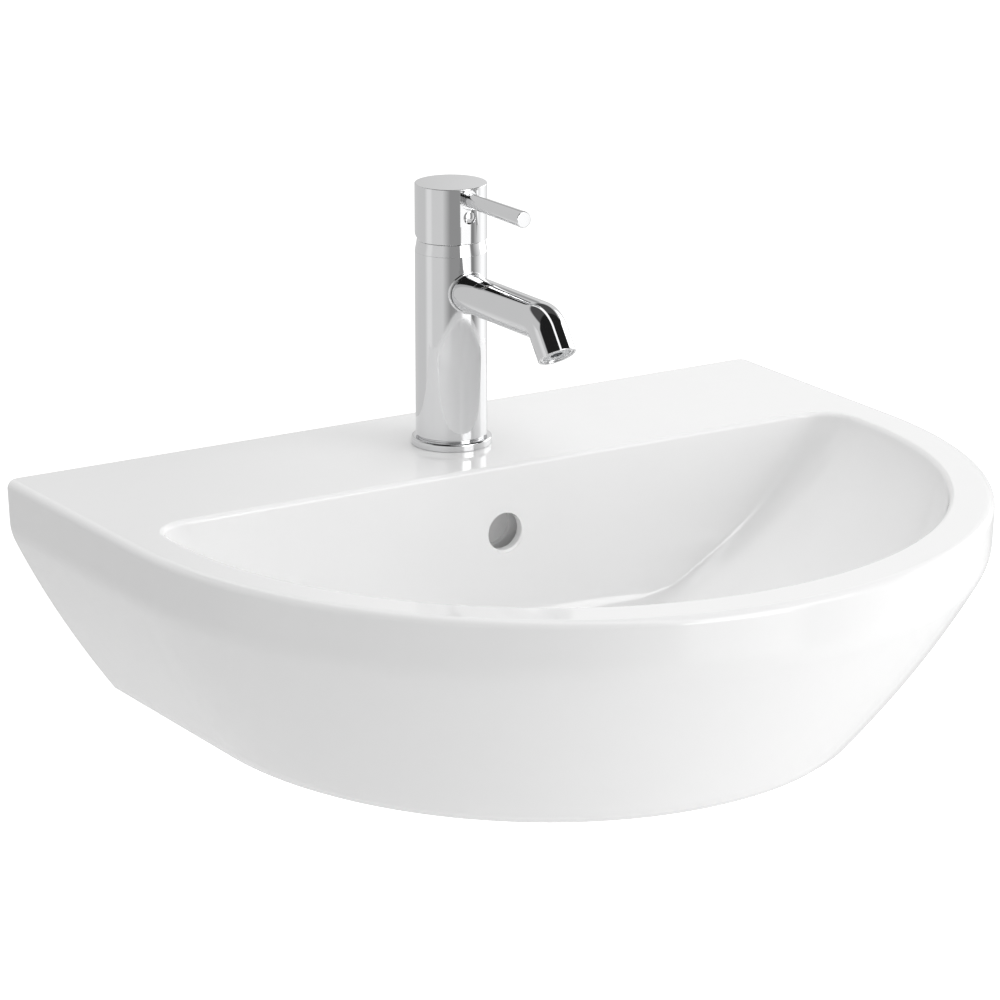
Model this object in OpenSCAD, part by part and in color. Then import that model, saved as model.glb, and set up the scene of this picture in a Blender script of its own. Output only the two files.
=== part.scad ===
// Wall-hung washbasin of glazed china, with a single-lever mixer tap and a push-to-open waste.
// Millimetres. +X is to the right, +Y is towards the wall and +Z is up.
// The origin lies on the wall face, midway between the two holes for the wall bolts.

/* [Basin] */
// Overall width across the apron
basin_w = 550; // [500:5:620]
// Depth from the wall to the front of the apron
basin_d = 456; // [430:2:500]
// Height from the flat bottom to the rim
basin_h = 150; // [146:1:170]
// Height of the upright apron under the rim
apron_h = 33; // [26:1:40]
// Straight run of the apron's sides, from the wall
side_run = 164; // [150:2:180]
// Radius of the rim's outer edge
rim_edge_r = 5; // [3:0.5:7]
// Thickness of the china walls
china_t = 11; // [9:0.5:13]
// Thickness of the flat deck behind the bowl
deck_t = 14; // [12:0.5:17]
// Thickness of the china at the wall face
back_t = 12; // [10:0.5:16]
// How far the lower body draws in at each side, down to the flat bottom
side_taper = 73; // [60:1:85]
// How far the lower body draws in at the front
front_taper = 85; // [70:1:95]
// Straight run of the sides at the flat bottom
foot_run = 145; // [130:1:160]

/* [Bowl] */
// Depth of the deck, from the wall to the bowl
deck_d = 134; // [126:1:140]
// Width of the rim beside the bowl
side_rim = 28; // [24:1:36]
// Width of the rim in front of the bowl
front_rim = 30; // [26:1:40]
// Depth of the bowl below the rim
bowl_depth = 118; // [110:1:122]
// Straight run of the bowl's sides, from the wall
bowl_run = 172; // [168:1:190]
// Radius of the bowl's two rear corners in plan
bowl_corner_r = 25; // [18:1:30]
// Radius of the bowl's upper edge
bowl_edge_r = 3; // [2:0.5:5]
// Diameter of the overflow hole
overflow_d = 24; // [18:1:26]
// Depth of the overflow hole's centre below the rim
overflow_drop = 42.5; // [38:0.5:48]

/* [Wall fixing] */
// Spacing of the two bolt holes
bolt_spacing = 280; // [240:5:300]
// Diameter of the bolt holes
bolt_hole_d = 16; // [12:1:18]
// Depth of the bolt holes below the rim
bolt_drop = 70; // [60:1:80]
// Diameter of the thick pad round each bolt hole
bolt_pad_d = 44; // [36:1:50]
// Height of the pad above the china behind it
bolt_pad_t = 8; // [5:0.5:12]
// Width of the service opening at the foot of the wall face
service_w = 300; // [260:5:330]
// Height of the service opening
service_h = 45; // [35:1:50]

/* [Tap body] */
// Distance of the tap's axis from the wall
tap_back = 71.5; // [66:0.5:78]
// Diameter of the tap hole in the deck
tap_hole_d = 35; // [34:0.5:37]
// Diameter of the tap body
tap_d = 45; // [44:0.5:48]
// Height from the deck to the top of the body's plain part
tap_h = 123.7; // [118:0.5:130]
// Wall of the hollow lower part of the body
tap_wall_t = 3.5; // [2.5:0.5:4.5]
// Diameter of the ring at the tap's base
base_ring_d = 50.6; // [49:0.2:54]
// Height of that ring above the deck
base_ring_h = 4.9; // [4:0.1:6]
// Height of the narrow groove between the ring and the body
base_gap_h = 1.6; // [1:0.1:2.5]
// Depth of that groove
base_gap_t = 1.2; // [0.8:0.1:1.6]
// Height of the trim ring between the body and the cap
trim_h = 7.3; // [6.5:0.1:8.5]
// How much the trim ring narrows towards its top
trim_taper = 1.3; // [1:0.1:1.6]
// Diameter of the threads of the two water inlets
inlet_d = 10; // [8:0.5:10]
// Length of those threads
inlet_l = 12; // [8:0.5:14]
// Distance between the two inlets
inlet_spacing = 14; // [13.6:0.2:15]

/* [Spout] */
// Diameter of the spout tube
spout_d = 24; // [21:0.5:25]
// Wall of the spout tube
spout_wall_t = 2.5; // [2:0.25:3]
// Height of the spout's axis above the deck
spout_z = 100.7; // [96:0.5:102]
// Straight length of the spout, from the tap's axis to the bend
spout_run = 102.3; // [90:1:120]
// Angle through which the spout bends down
spout_bend = 54; // [40:1:60]
// Radius of the bend along the tube's axis
spout_bend_r = 13; // [13:0.5:24]
// Straight length after the bend
spout_drop = 16.2; // [15:0.5:24]
// Width of the collar round the spout's root
collar_w = 1.4; // [1:0.1:2]
// How far the collar stands out of the body
collar_t = 1; // [0.6:0.1:1.5]

/* [Handle] */
// Height of the cap
cap_h = 34.9; // [33:0.1:40]
// Wall of the cap's skirt
cap_wall_t = 1.2; // [1:0.1:1.3]
// Thickness of the cap's top
cap_top_t = 3; // [2:0.25:4]
// Gap between the cap and the trim ring
cap_gap = 0.5; // [0.4:0.1:0.8]
// Slope of the cut under the rear of the cap
cap_cut_angle = 14; // [12:1:16]
// Length of the lever, from the tap's axis to its end face
lever_l = 85; // [70:1:100]
// Diameter of the lever at the cap
lever_root_d = 9; // [8:0.2:10]
// Diameter of the lever at its end
lever_end_d = 10.2; // [9:0.2:11.5]
// Depth of the lever's axis below the cap's top
lever_drop = 7.1; // [7:0.1:8.5]
// Depth of the index plug's centre below the cap's top
index_drop = 18; // [17.5:0.1:19]
// Diameter of the index plug
index_d = 8.4; // [7:0.1:8.6]

/* [Waste] */
// Distance of the waste from the wall
waste_back = 236; // [226:1:246]
// Diameter of the waste hole in the china
waste_hole_d = 46; // [44.5:0.5:48]
// Diameter of the waste's flange
flange_d = 66; // [62:1:70]
// Thickness of the flange
flange_t = 2.5; // [2:0.25:3.5]
// Outside diameter of the waste's threaded tail
tail_d = 41.9; // [40:0.1:43]
// Wall of the tail
tail_wall_t = 2.4; // [2:0.1:3]
// Length of the tail below the flange
tail_l = 61; // [56:1:64]
// Travel of the plug between closed and open
plug_travel = 8; // [6:0.5:9]
// Diameter of the plug
plug_d = 58; // [52:1:60]

/* [Hidden] */
$fn = 72;

// Overrun of every cut past the face that it opens
over = 2;
// Clearance of a moving pair, and of pieces that are only laid together
run_gap = 0.05;
loose_gap = 0.3;

// Outline of the basin
half_w = basin_w / 2;
apron_draft = 1.2;
apron_half_w = half_w - apron_draft;
apron_front = basin_d - apron_draft;
foot_half_w = half_w - side_taper;
foot_front = basin_d - front_taper;
// Number of steps round the curved front, round a corner and over an edge
front_steps = 32;
corner_steps = 4;
edge_steps = 4;
// Power of the front's curve, and the bulge of the lower body
front_power = 2.02;
bulge_share = 0.058;
// Thickness along Y of the sloping china, as a share of its true thickness
slope_share = 1.1;
// Places down the lower body, from the bottom edge to the apron, as shares of its height
body_shares = [1, 0.82, 0.62, 0.42, 0.24, 0.1, 0];

// Outline of the bowl
bowl_half_w = half_w - side_rim;
bowl_front = basin_d - front_rim;
bowl_draft = 2.5;
bowl_floor_blend = 20;
bowl_floor_power = 6;
bowl_floor_dip = 4;
bowl_floor_margin = 9;
bowl_power = 1.55;
bowl_full_share = 0.915;
bowl_low_share = sqrt(1 - pow(bowl_full_share, bowl_power));
// Places down the bowl's wall, from its lowest to its highest, as shares of its depth
bowl_shares = [1, 0.94, 0.87, 0.77, 0.66, 0.54, 0.42, 0.3, 0.19, 0.1, 0.05];

// The boss under the waste and the overflow's duct
recess_gap = 0.5;
boss_r = waste_hole_d / 2 + china_t;
boss_h = 26;
duct_w = 36;
duct_t = 10;
duct_top = overflow_drop - overflow_d / 2 - recess_gap;
duct_floor_z = -(bowl_depth + duct_t);
duct_low_z = duct_floor_z - duct_t;
duct_wall_t = 8;
recess_t = 3.5;

// Heights of the tap above the deck
tap_r = tap_d / 2;
body_foot_z = base_ring_h + base_gap_h;
trim_top = tap_h + trim_h;
cap_foot = trim_top + cap_gap;
cap_top = cap_foot + cap_h;
seal_t = 1.2;
seal_proud = 0.15;
foot_ring_gap = 0.1;
foot_r = tap_r - base_gap_t - loose_gap;
ring_r = base_ring_d / 2;
ring_edge_r = 1.2;
ring_lip_t = 0.9;
shank_r = tap_hole_d / 2 - 0.9;
shank_h = 6;
base_wall_h = 10.8;
hose_hole_r = 6.2;
inlet_y = 5;
manifold_h = 20;
passage_r = 4;

// The cartridge, from its seat to the top of its neck
seat_z = tap_h - 11.2;
cart_r = 14;
cart_h = 9.5;
cart_neck_r = 9.5;
cart_neck_h = 9;
cart_seal_t = 1;
cart_seal_edge = 1;
cart_floor_t = 1;
cart_room_r = 11.5;
cart_top_t = 1.2;
cart_z = seat_z + cart_seal_t;
neck_z = cart_z + cart_h - cart_seal_t;
neck_top = neck_z + cart_neck_h;
spigot_r = tap_r - 3.6;
nut_r = spigot_r - 2.4;
cart_nut_h = 7.5;
cart_nut_slot_w = 3;
cart_nut_slot_t = 2;
disc_fixed_r = 11.3;
disc_fixed_t = 2.8;
disc_z = cart_z + cart_floor_t;
disc_hole_r = 2.1;
outlet_y = 6;
outlet_r = 3.4;
disc_moving_r = 9.5;
disc_moving_t = 2.6;
disc_offset = 1.4;
finger_r = 1.5;
finger_gap = 0.35;
finger_t = 1.3;
carriage_r = 7.3;
carriage_foot_gap = 0.4;
carriage_top_gap = 0.3;
spindle_foot_gap = 1.2;
pivot_z = neck_z + 3.8;
pin_r = 1.25;
spindle_w = 5;
spindle_slot_l = 11.6;
spindle_top_gap = 5.2;

// The cap and what it carries
cap_r = tap_r;
cap_edge = 0.4;
cap_cut_front = 3.1;
hub_r = 8.5;
hub_foot = cap_foot + 9.5;
rib_w = 13;
rib_foot = cap_foot + 11.5;
lever_z = cap_top - lever_drop;
lever_recess_r = lever_root_d / 2 + 1.7;
lever_recess_t = 1.2;
lever_shank_r = 3;
lever_shank_l = 9;
lever_edge = 0.6;
index_z = cap_top - index_drop;
index_r = index_d / 2;
index_t = 3;
index_dome_r = 9;
grub_r = 2.5;
grub_l = 9;
grub_key_r = 1.4;
grub_key_t = 3;

// The spout and its outlet
spout_r = spout_d / 2;
spout_bore_r = spout_r - spout_wall_t;
spigot_l = 8;
spigot_step = 1;
socket_end = tap_r - spigot_l - spigot_step;
spout_bore_end = 2;
bend_lap = 0.2;
bend_step = 0.02;
oring_r = 0.6;
oring_groove_t = 1.3;
oring_groove_w = 1.6;
oring_back = 2.6;
collar_r = spout_r + collar_w;
aerator_r = spout_bore_r + 1;
aerator_l = 8;
aerator_recess = 0.8;
aerator_wall_t = 1.8;
aerator_washer_t = 1.5;
aerator_insert_t = 5;
aerator_hole_r = 0.8;
aerator_rows = 2;
aerator_row_step = 6;
aerator_pitch = 2.7;

// What clamps the tap under the deck
stud_y = -10;
stud_r = 4;
stud_l = 66;
stud_in_l = 10;
clamp_r = 24;
clamp_slot_w = 28;
clamp_slot_y = -2;
clamp_gasket_t = 3;
clamp_washer_t = 2;
clamp_nut_h = 12;
clamp_nut_af = 13;

// The waste, measured from the bowl's floor
flange_r = flange_d / 2;
tail_r = tail_d / 2;
tail_bore_r = tail_r - tail_wall_t;
top_seal_t = 1;
flange_z = top_seal_t - recess_t;
flange_top = flange_z + flange_t;
slot_w = 16;
slot_count = 4;
bottom_seal_t = 4;
slip_t = 1.5;
waste_nut_h = 9;
waste_nut_af = 52;
nut_foot_z = -(boss_h + bottom_seal_t + slip_t + waste_nut_h);
relief_w = 1.5;
relief_t = 0.4;
seal_r = waste_nut_af / 2 + 3;
spider_z = -(duct_t + boss_h);
spider_t = 6;
spider_w = 4;
spider_hub_r = 10.5;
click_r = 8;
click_l = 30;
click_bore_r = 6.2;
click_floor_t = 3;
spring_in_r = 4.5;
spring_out_r = 5.9;
stem_r = 4;
stem_foot_r = 5.9;
stem_foot_t = 3;
plug_r = plug_d / 2;
plug_seat_r = tail_bore_r;
plug_t = 4;
plug_dome_r = 160;
plug_skirt_t = 3;
plug_seal_r = 1;
plug_z = flange_top + loose_gap;
click_top = spider_z + click_l;
// Underside of the stem's foot when the plug is closed
stem_foot_z = click_top - click_floor_t - plug_travel - stem_foot_t - loose_gap;

china = [0.95, 0.95, 0.95];
chrome = [0.8, 0.81, 0.83];
brass = [0.8, 0.68, 0.36];
rubber = [0.12, 0.12, 0.13];
steel = [0.66, 0.67, 0.69];
plastic = [0.86, 0.86, 0.83];
dark_plastic = [0.22, 0.24, 0.27];
alumina = [0.93, 0.92, 0.88];

function mix(a, b, share) = a + (b - a) * share;
function sgn(v) = v < 0 ? -1 : 1;

// Share of the taper reached at a share of the lower body's height
function body_share(s) = s - 4 * bulge_share * s * (1 - s);

// Half width and depth of the bowl at a share of its depth, as shares of those at its rim
function bowl_share(t) = sqrt(1 - pow(bowl_full_share * t, bowl_power));

// Curved front of an outline, from its left side to its right side
function front_curve(w, run, front, z) = [
    for (i = [0:front_steps])
        let (a = 180 * i / front_steps, c = cos(a), s = sin(a))
            [-w * sgn(c) * pow(abs(c), 2 / front_power),
                -run - (front - run) * pow(abs(s), 2 / front_power), z]
];

// Outline with square rear corners, anticlockwise from above
function square_ring(w, back, run, front, z) = concat(
    [[-w, -back, z]],
    front_curve(w, run, front, z),
    [[w, -back, z]]);

// A quarter turn of a rear corner
function corner(x, y, r, from, z) = [
    for (i = [0:corner_steps])
        let (a = from + 90 * i / corner_steps) [x + r * cos(a), y + r * sin(a), z]
];

// Outline with round rear corners, anticlockwise from above
function round_ring(w, back, r, run, front, z) = concat(
    corner(r - w, -(back + r), r, 90, z),
    front_curve(w, run, front, z),
    corner(w - r, -(back + r), r, 0, z));

// Outline of the lower body at a share of its height, drawn in by some thickness
function body_ring(s, z, back, thickness) =
    let (k = body_share(s))
        square_ring(mix(apron_half_w, foot_half_w, k) - thickness, back, mix(side_run, foot_run, k),
            mix(apron_front, foot_front, k) - thickness, z);

// Number of holes in a row of the aerator's insert
function hole_count(row) = max(1, aerator_row_step * row);

function body_z(s) = -apron_h - s * (basin_h - apron_h);

// Outline of the bowl at a share of its depth, grown by some thickness
function bowl_ring(t, z, grow) =
    let (g = bowl_share(t), drawn = (1 - g) / (1 - bowl_low_share),
        centre = mix(bowl_run, waste_back, drawn),
        back = deck_d + bowl_draft * t + bowl_floor_blend * pow(t, bowl_floor_power))
        round_ring(bowl_half_w * g + grow, back - grow, bowl_corner_r + grow, centre,
            centre + (bowl_front - bowl_run) * g + grow, z);

// Round floor of the bowl about the waste, grown by some thickness
function floor_ring(z, grow) =
    let (r = flange_r + bowl_floor_margin + grow)
        round_ring(r, waste_back - r, r - over, waste_back, waste_back + r, z);

// Closed solid through rings that are listed from the lowest to the highest
module loft(rings) {
    n = len(rings[0]);
    m = len(rings);
    polyhedron(
        points = [for (r = rings) each r],
        faces = concat(
            [[for (i = [0:n - 1]) i]],
            [[for (i = [0:n - 1]) m * n - 1 - i]],
            [for (k = [0:m - 2], i = [0:n - 1]) let (j = (i + 1) % n)
                [k * n + i, (k + 1) * n + i, (k + 1) * n + j]],
            [for (k = [0:m - 2], i = [0:n - 1]) let (j = (i + 1) % n)
                [k * n + i, (k + 1) * n + j, k * n + j]]));
}

// The three places that the pieces are measured from
module at_rim() { translate([0, 0, bolt_drop]) children(); }
module at_tap() { translate([0, -tap_back, bolt_drop]) children(); }
module at_waste() { translate([0, -waste_back, bolt_drop - bowl_depth]) children(); }

// The tap's pieces that lie along the spout, with +Z along the spout towards its outlet
module along_spout() { at_tap() translate([0, 0, spout_z]) rotate([90, 0, 0]) children(); }

// The spout's outlet, with +Z out of its mouth and the origin in the mouth's face
module at_outlet() {
    along_spout()
        translate([0, -spout_bend_r, spout_run])
            rotate([spout_bend, 0, 0])
                translate([0, spout_bend_r, spout_drop])
                    children();
}

// Tube between two radii
module tube(outer, inner, h) {
    difference() {
        cylinder(r = outer, h = h);
        translate([0, 0, -over]) cylinder(r = inner, h = h + 2 * over);
    }
}

// Hexagon prism of a given width across its flats
module hexagon(af, h) { cylinder(r = af / sqrt(3), h = h, $fn = 6); }

// Outside of the basin
module basin_outside() {
    loft(concat(
        [for (s = body_shares) body_ring(s, body_z(s), 0, 0)],
        [for (i = [0:edge_steps])
            let (a = 90 * i / edge_steps, inset = rim_edge_r * (1 - cos(a)))
                square_ring(half_w - inset, 0, side_run, basin_d - inset, rim_edge_r * (sin(a) - 1))]));
}

// Room inside the bowl, open past the rim
module bowl_room() {
    wall_depth = bowl_depth - bowl_floor_dip;
    loft(concat(
        [floor_ring(-bowl_depth, 0)],
        [for (t = bowl_shares) bowl_ring(t, -wall_depth * t, 0)],
        [bowl_ring(0, -bowl_edge_r / 4, bowl_edge_r / 2), bowl_ring(0, over, bowl_edge_r + over)]));
}

// Outside of the bowl's own wall, up into the deck
module bowl_shell() {
    wall_depth = bowl_depth - bowl_floor_dip + china_t;
    loft(concat(
        [floor_ring(-bowl_depth - china_t, china_t)],
        [for (t = bowl_shares) bowl_ring(t, -wall_depth * t, china_t)]));
}

// Room under the deck and round the bowl, open at the bottom
module under_room() {
    slope_t = china_t * slope_share;
    low = -basin_h - over;
    loft(concat(
        [body_ring(1, low, back_t, slope_t)],
        [for (s = body_shares) if (s < 1) body_ring(s, body_z(s), back_t, slope_t)],
        [square_ring(apron_half_w - china_t, back_t, side_run, apron_front - china_t, -deck_t)]));
}

// Block centred on X that runs from a front to a back distance and between two heights
module block(w, near, far, low, high) {
    translate([-w / 2, -far, low]) cube([w, far - near, high - low]);
}

module basin() {
    casing_w = duct_w + 2 * duct_wall_t;
    duct_near = deck_d - china_t - duct_t;
    boss_low = -bowl_depth - boss_h;
    color(china) at_rim() difference() {
        basin_outside();
        bowl_room();
        difference() {
            under_room();
            bowl_shell();
            translate([0, -waste_back, boss_low]) cylinder(r = boss_r, h = boss_h);
            block(casing_w, duct_near - duct_wall_t, deck_d, duct_low_z - duct_wall_t / 2, -deck_t + over);
            block(casing_w, duct_near - duct_wall_t, waste_back, duct_low_z - duct_wall_t / 2, -bowl_depth);
            for (side = [-1, 1])
                translate([side * bolt_spacing / 2, 0, -bolt_drop])
                    rotate([90, 0, 0]) cylinder(d = bolt_pad_d, h = back_t + bolt_pad_t);
        }
        // Tap hole, overflow with its duct, and waste hole with its recess
        translate([0, -tap_back, -deck_t - over]) cylinder(d = tap_hole_d, h = deck_t + 2 * over);
        translate([0, -(duct_near + duct_t / 2), -overflow_drop])
            rotate([90, 0, 0]) cylinder(d = overflow_d, h = duct_t / 2 + china_t + bowl_draft + over);
        block(duct_w, duct_near, duct_near + duct_t, duct_low_z, -duct_top);
        block(duct_w, duct_near, waste_back, duct_low_z, duct_floor_z);
        translate([0, -waste_back, boss_low - over]) cylinder(d = waste_hole_d, h = boss_h + 2 * over);
        translate([0, -waste_back, -bowl_depth - recess_t])
            cylinder(r = flange_r + recess_gap, h = recess_t + over);
        // Wall bolts and the service opening
        for (side = [-1, 1])
            translate([side * bolt_spacing / 2, over, -bolt_drop])
                rotate([90, 0, 0]) cylinder(d = bolt_hole_d, h = back_t + bolt_pad_t + 2 * over);
        block(service_w, -over, back_t + over, -basin_h - over, service_h - basin_h);
    }
}

module tap_body() {
    color(chrome) at_tap() difference() {
        union() {
            translate([0, 0, body_foot_z]) cylinder(r = tap_r, h = tap_h - body_foot_z);
            translate([0, 0, seal_t]) cylinder(r = foot_r, h = body_foot_z - seal_t);
            translate([0, 0, -shank_h]) cylinder(r = shank_r, h = shank_h + seal_t);
            translate([0, 0, tap_h]) cylinder(r = spigot_r, h = neck_z + cart_nut_h - tap_h);
        }
        // Hollow lower part, with the hoses' way in and the stud's thread in its floor
        translate([0, 0, base_wall_h])
            cylinder(r = tap_r - tap_wall_t, h = seat_z - manifold_h - base_wall_h);
        for (side = [-1, 1]) {
            translate([side * inlet_spacing / 2, inlet_y, -shank_h - over])
                cylinder(r = hose_hole_r, h = shank_h + base_wall_h + 2 * over);
            translate([side * inlet_spacing / 2, inlet_y, seat_z - manifold_h - over])
                cylinder(d = inlet_d, h = inlet_l + over);
            translate([side * inlet_spacing / 2, inlet_y, seat_z - manifold_h])
                cylinder(r = passage_r, h = manifold_h + over);
        }
        translate([0, stud_y, -shank_h - over]) cylinder(r = stud_r, h = shank_h + base_wall_h + 2 * over);
        // Outlet from the cartridge into the spout's socket
        translate([0, -outlet_y, spout_z]) cylinder(r = outlet_r, h = seat_z - spout_z + over);
        translate([0, -spout_bore_end, spout_z]) rotate([90, 0, 0])
            cylinder(r = spout_bore_r - spigot_step, h = tap_r);
        translate([0, -socket_end, spout_z]) rotate([90, 0, 0])
            cylinder(r = spout_r - spigot_step, h = tap_r);
        // Cartridge chamber and the thread of its nut
        translate([0, 0, seat_z]) cylinder(r = cart_r + run_gap, h = neck_z - seat_z + over);
        translate([0, 0, neck_z]) cylinder(r = nut_r, h = cart_nut_h + over);
    }
}

module base_ring() {
    lip = ring_r - ring_lip_t;
    color(chrome) at_tap() difference() {
        rotate_extrude() difference() {
            union() {
                translate([foot_r + foot_ring_gap, seal_proud])
                    square([ring_r - foot_r - foot_ring_gap, base_ring_h - seal_proud - ring_edge_r]);
                translate([foot_r + foot_ring_gap, seal_proud])
                    square([ring_r - foot_r - foot_ring_gap - ring_edge_r, base_ring_h - seal_proud]);
                translate([ring_r - ring_edge_r, base_ring_h - ring_edge_r]) circle(r = ring_edge_r);
            }
            square([lip, seal_t]);
        }
    }
}

module base_seal() {
    color(rubber) at_tap() tube(ring_r - ring_lip_t - loose_gap, shank_r + loose_gap, seal_t);
}

module trim_ring() {
    color(chrome) at_tap() translate([0, 0, tap_h]) rotate_extrude() polygon([
        [spigot_r + run_gap, 0], [tap_r, 0], [tap_r - trim_taper, trim_h], [spigot_r + run_gap, trim_h]]);
}

// Solid spout of one radius, straight and then bent down, with its end let into the bend
module spout_form(r, start) {
    translate([0, 0, start]) cylinder(r = r, h = spout_run - start);
    translate([0, -spout_bend_r, spout_run]) {
        rotate([90, 0, 90]) rotate_extrude(angle = spout_bend) translate([spout_bend_r, 0]) circle(r = r);
        rotate([spout_bend, 0, 0]) translate([0, spout_bend_r, -bend_lap])
            cylinder(r = r - bend_step, h = spout_drop + bend_lap);
    }
}

module spout() {
    color(chrome) difference() {
        union() {
            difference() {
                along_spout() spout_form(spout_r, socket_end + spigot_l / 2);
                at_tap() translate([0, 0, spout_z - spout_d]) cylinder(r = tap_r, h = 2 * spout_d);
            }
            along_spout() translate([0, 0, socket_end])
                cylinder(r = spout_r - spigot_step - run_gap, h = tap_r - socket_end + over);
        }
        along_spout() spout_form(spout_bore_r - spigot_step, socket_end - over);
        along_spout() translate([0, 0, socket_end + oring_back])
            tube(spout_r, spout_r - spigot_step - oring_groove_t, oring_groove_w);
        at_outlet() translate([0, 0, -aerator_l - aerator_recess - aerator_washer_t])
            cylinder(r = aerator_r, h = aerator_l + aerator_recess + aerator_washer_t + over);
    }
}

module spout_collar() {
    color(chrome) intersection() {
        along_spout() tube(collar_r, spout_r + run_gap, tap_r + collar_t + over);
        at_tap() translate([0, 0, spout_z - spout_d]) tube(tap_r + collar_t, tap_r, 2 * spout_d);
    }
}

module spout_oring() {
    groove_r = spout_r - spigot_step - oring_groove_t;
    color(rubber) along_spout() translate([0, 0, socket_end + oring_back + oring_groove_w / 2])
        rotate_extrude() translate([groove_r + oring_r + run_gap, 0]) circle(r = oring_r);
}

module aerator_housing() {
    color(chrome) at_outlet() translate([0, 0, -aerator_l - aerator_recess])
        tube(aerator_r - run_gap, aerator_r - aerator_wall_t, aerator_l);
}

module aerator_insert() {
    room_r = aerator_r - aerator_wall_t - run_gap;
    color(dark_plastic) at_outlet() translate([0, 0, -aerator_l - aerator_recess]) difference() {
        cylinder(r = room_r, h = aerator_insert_t);
        for (row = [0:aerator_rows]) for (i = [0:hole_count(row) - 1])
            rotate([0, 0, 360 * i / hole_count(row)]) translate([row * aerator_pitch, 0, -over])
                cylinder(r = aerator_hole_r, h = aerator_insert_t + 2 * over);
    }
}

module aerator_washer() {
    color(rubber) at_outlet() translate([0, 0, -aerator_l - aerator_recess - aerator_washer_t])
        tube(aerator_r - run_gap, aerator_r - aerator_wall_t, aerator_washer_t);
}

module cartridge_seal() {
    color(rubber) at_tap() translate([0, 0, seat_z]) difference() {
        cylinder(r = cart_r - cart_seal_edge, h = cart_seal_t);
        cartridge_ports(passage_r - cart_seal_edge, outlet_r);
    }
}

// The two inlets and the outlet of the cartridge, cut upwards through what lies on the seat
module cartridge_ports(in_r, out_r) {
    for (side = [-1, 1])
        translate([side * inlet_spacing / 2, inlet_y, -over]) cylinder(r = in_r, h = 3 * over);
    translate([0, -outlet_y, -over]) cylinder(r = out_r, h = 3 * over);
}

module cartridge_housing() {
    color(dark_plastic) at_tap() difference() {
        union() {
            translate([0, 0, cart_z]) cylinder(r = cart_r, h = neck_z - cart_z);
            translate([0, 0, neck_z]) cylinder(r = cart_neck_r, h = cart_neck_h);
        }
        translate([0, 0, disc_z]) cylinder(r = cart_room_r, h = neck_z - disc_z - cart_top_t);
        translate([0, 0, disc_z]) cylinder(r = carriage_r + run_gap, h = neck_top - disc_z + over);
        translate([0, 0, cart_z]) cartridge_ports(disc_hole_r, outlet_r);
    }
}

module cartridge_nut() {
    color(brass) at_tap() translate([0, 0, neck_z]) difference() {
        tube(nut_r - run_gap, cart_neck_r + loose_gap, cart_nut_h);
        for (a = [0, 90])
            rotate([0, 0, a]) translate([-nut_r, -cart_nut_slot_w / 2, cart_nut_h - cart_nut_slot_t])
                cube([2 * nut_r, cart_nut_slot_w, cart_nut_slot_t + over]);
    }
}

module fixed_disc() {
    color(alumina) at_tap() translate([0, 0, disc_z]) difference() {
        cylinder(r = disc_fixed_r, h = disc_fixed_t);
        cartridge_ports(disc_hole_r, outlet_r);
    }
}

module moving_disc() {
    color(alumina) at_tap() translate([0, disc_offset, disc_z + disc_fixed_t]) difference() {
        cylinder(r = disc_moving_r, h = disc_moving_t);
        translate([0, -disc_offset, disc_moving_t - finger_t - finger_gap])
            cylinder(r = finger_r + finger_gap, h = finger_t + finger_gap + over);
    }
}

module carriage() {
    foot = disc_z + disc_fixed_t + disc_moving_t + carriage_foot_gap;
    top = neck_top + carriage_top_gap;
    color(plastic) at_tap() difference() {
        translate([0, 0, foot]) cylinder(r = carriage_r, h = top - foot);
        translate([-spindle_w / 2 - run_gap, -spindle_slot_l / 2, foot - over])
            cube([spindle_w + 2 * run_gap, spindle_slot_l, top - foot + 2 * over]);
        translate([-carriage_r, 0, pivot_z]) rotate([0, 90, 0])
            cylinder(r = pin_r, h = 2 * carriage_r);
    }
}

module lever_pin() {
    pin_l = 2 * (carriage_r - loose_gap);
    color(steel) at_tap() translate([-pin_l / 2, 0, pivot_z]) rotate([0, 90, 0])
        cylinder(r = pin_r, h = pin_l);
}

module spindle() {
    disc_top = disc_z + disc_fixed_t + disc_moving_t;
    shoulder = disc_top + spindle_foot_gap;
    top = cap_top - cap_top_t - spindle_top_gap;
    color(steel) at_tap() difference() {
        union() {
            translate([-spindle_w / 2, -spindle_w / 2, shoulder])
                cube([spindle_w, spindle_w, top - shoulder]);
            translate([0, 0, disc_top - finger_t])
                cylinder(r = finger_r, h = finger_t + spindle_foot_gap + run_gap);
        }
        translate([-spindle_w, 0, pivot_z]) rotate([0, 90, 0])
            cylinder(r = pin_r + run_gap, h = 2 * spindle_w);
    }
}

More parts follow.
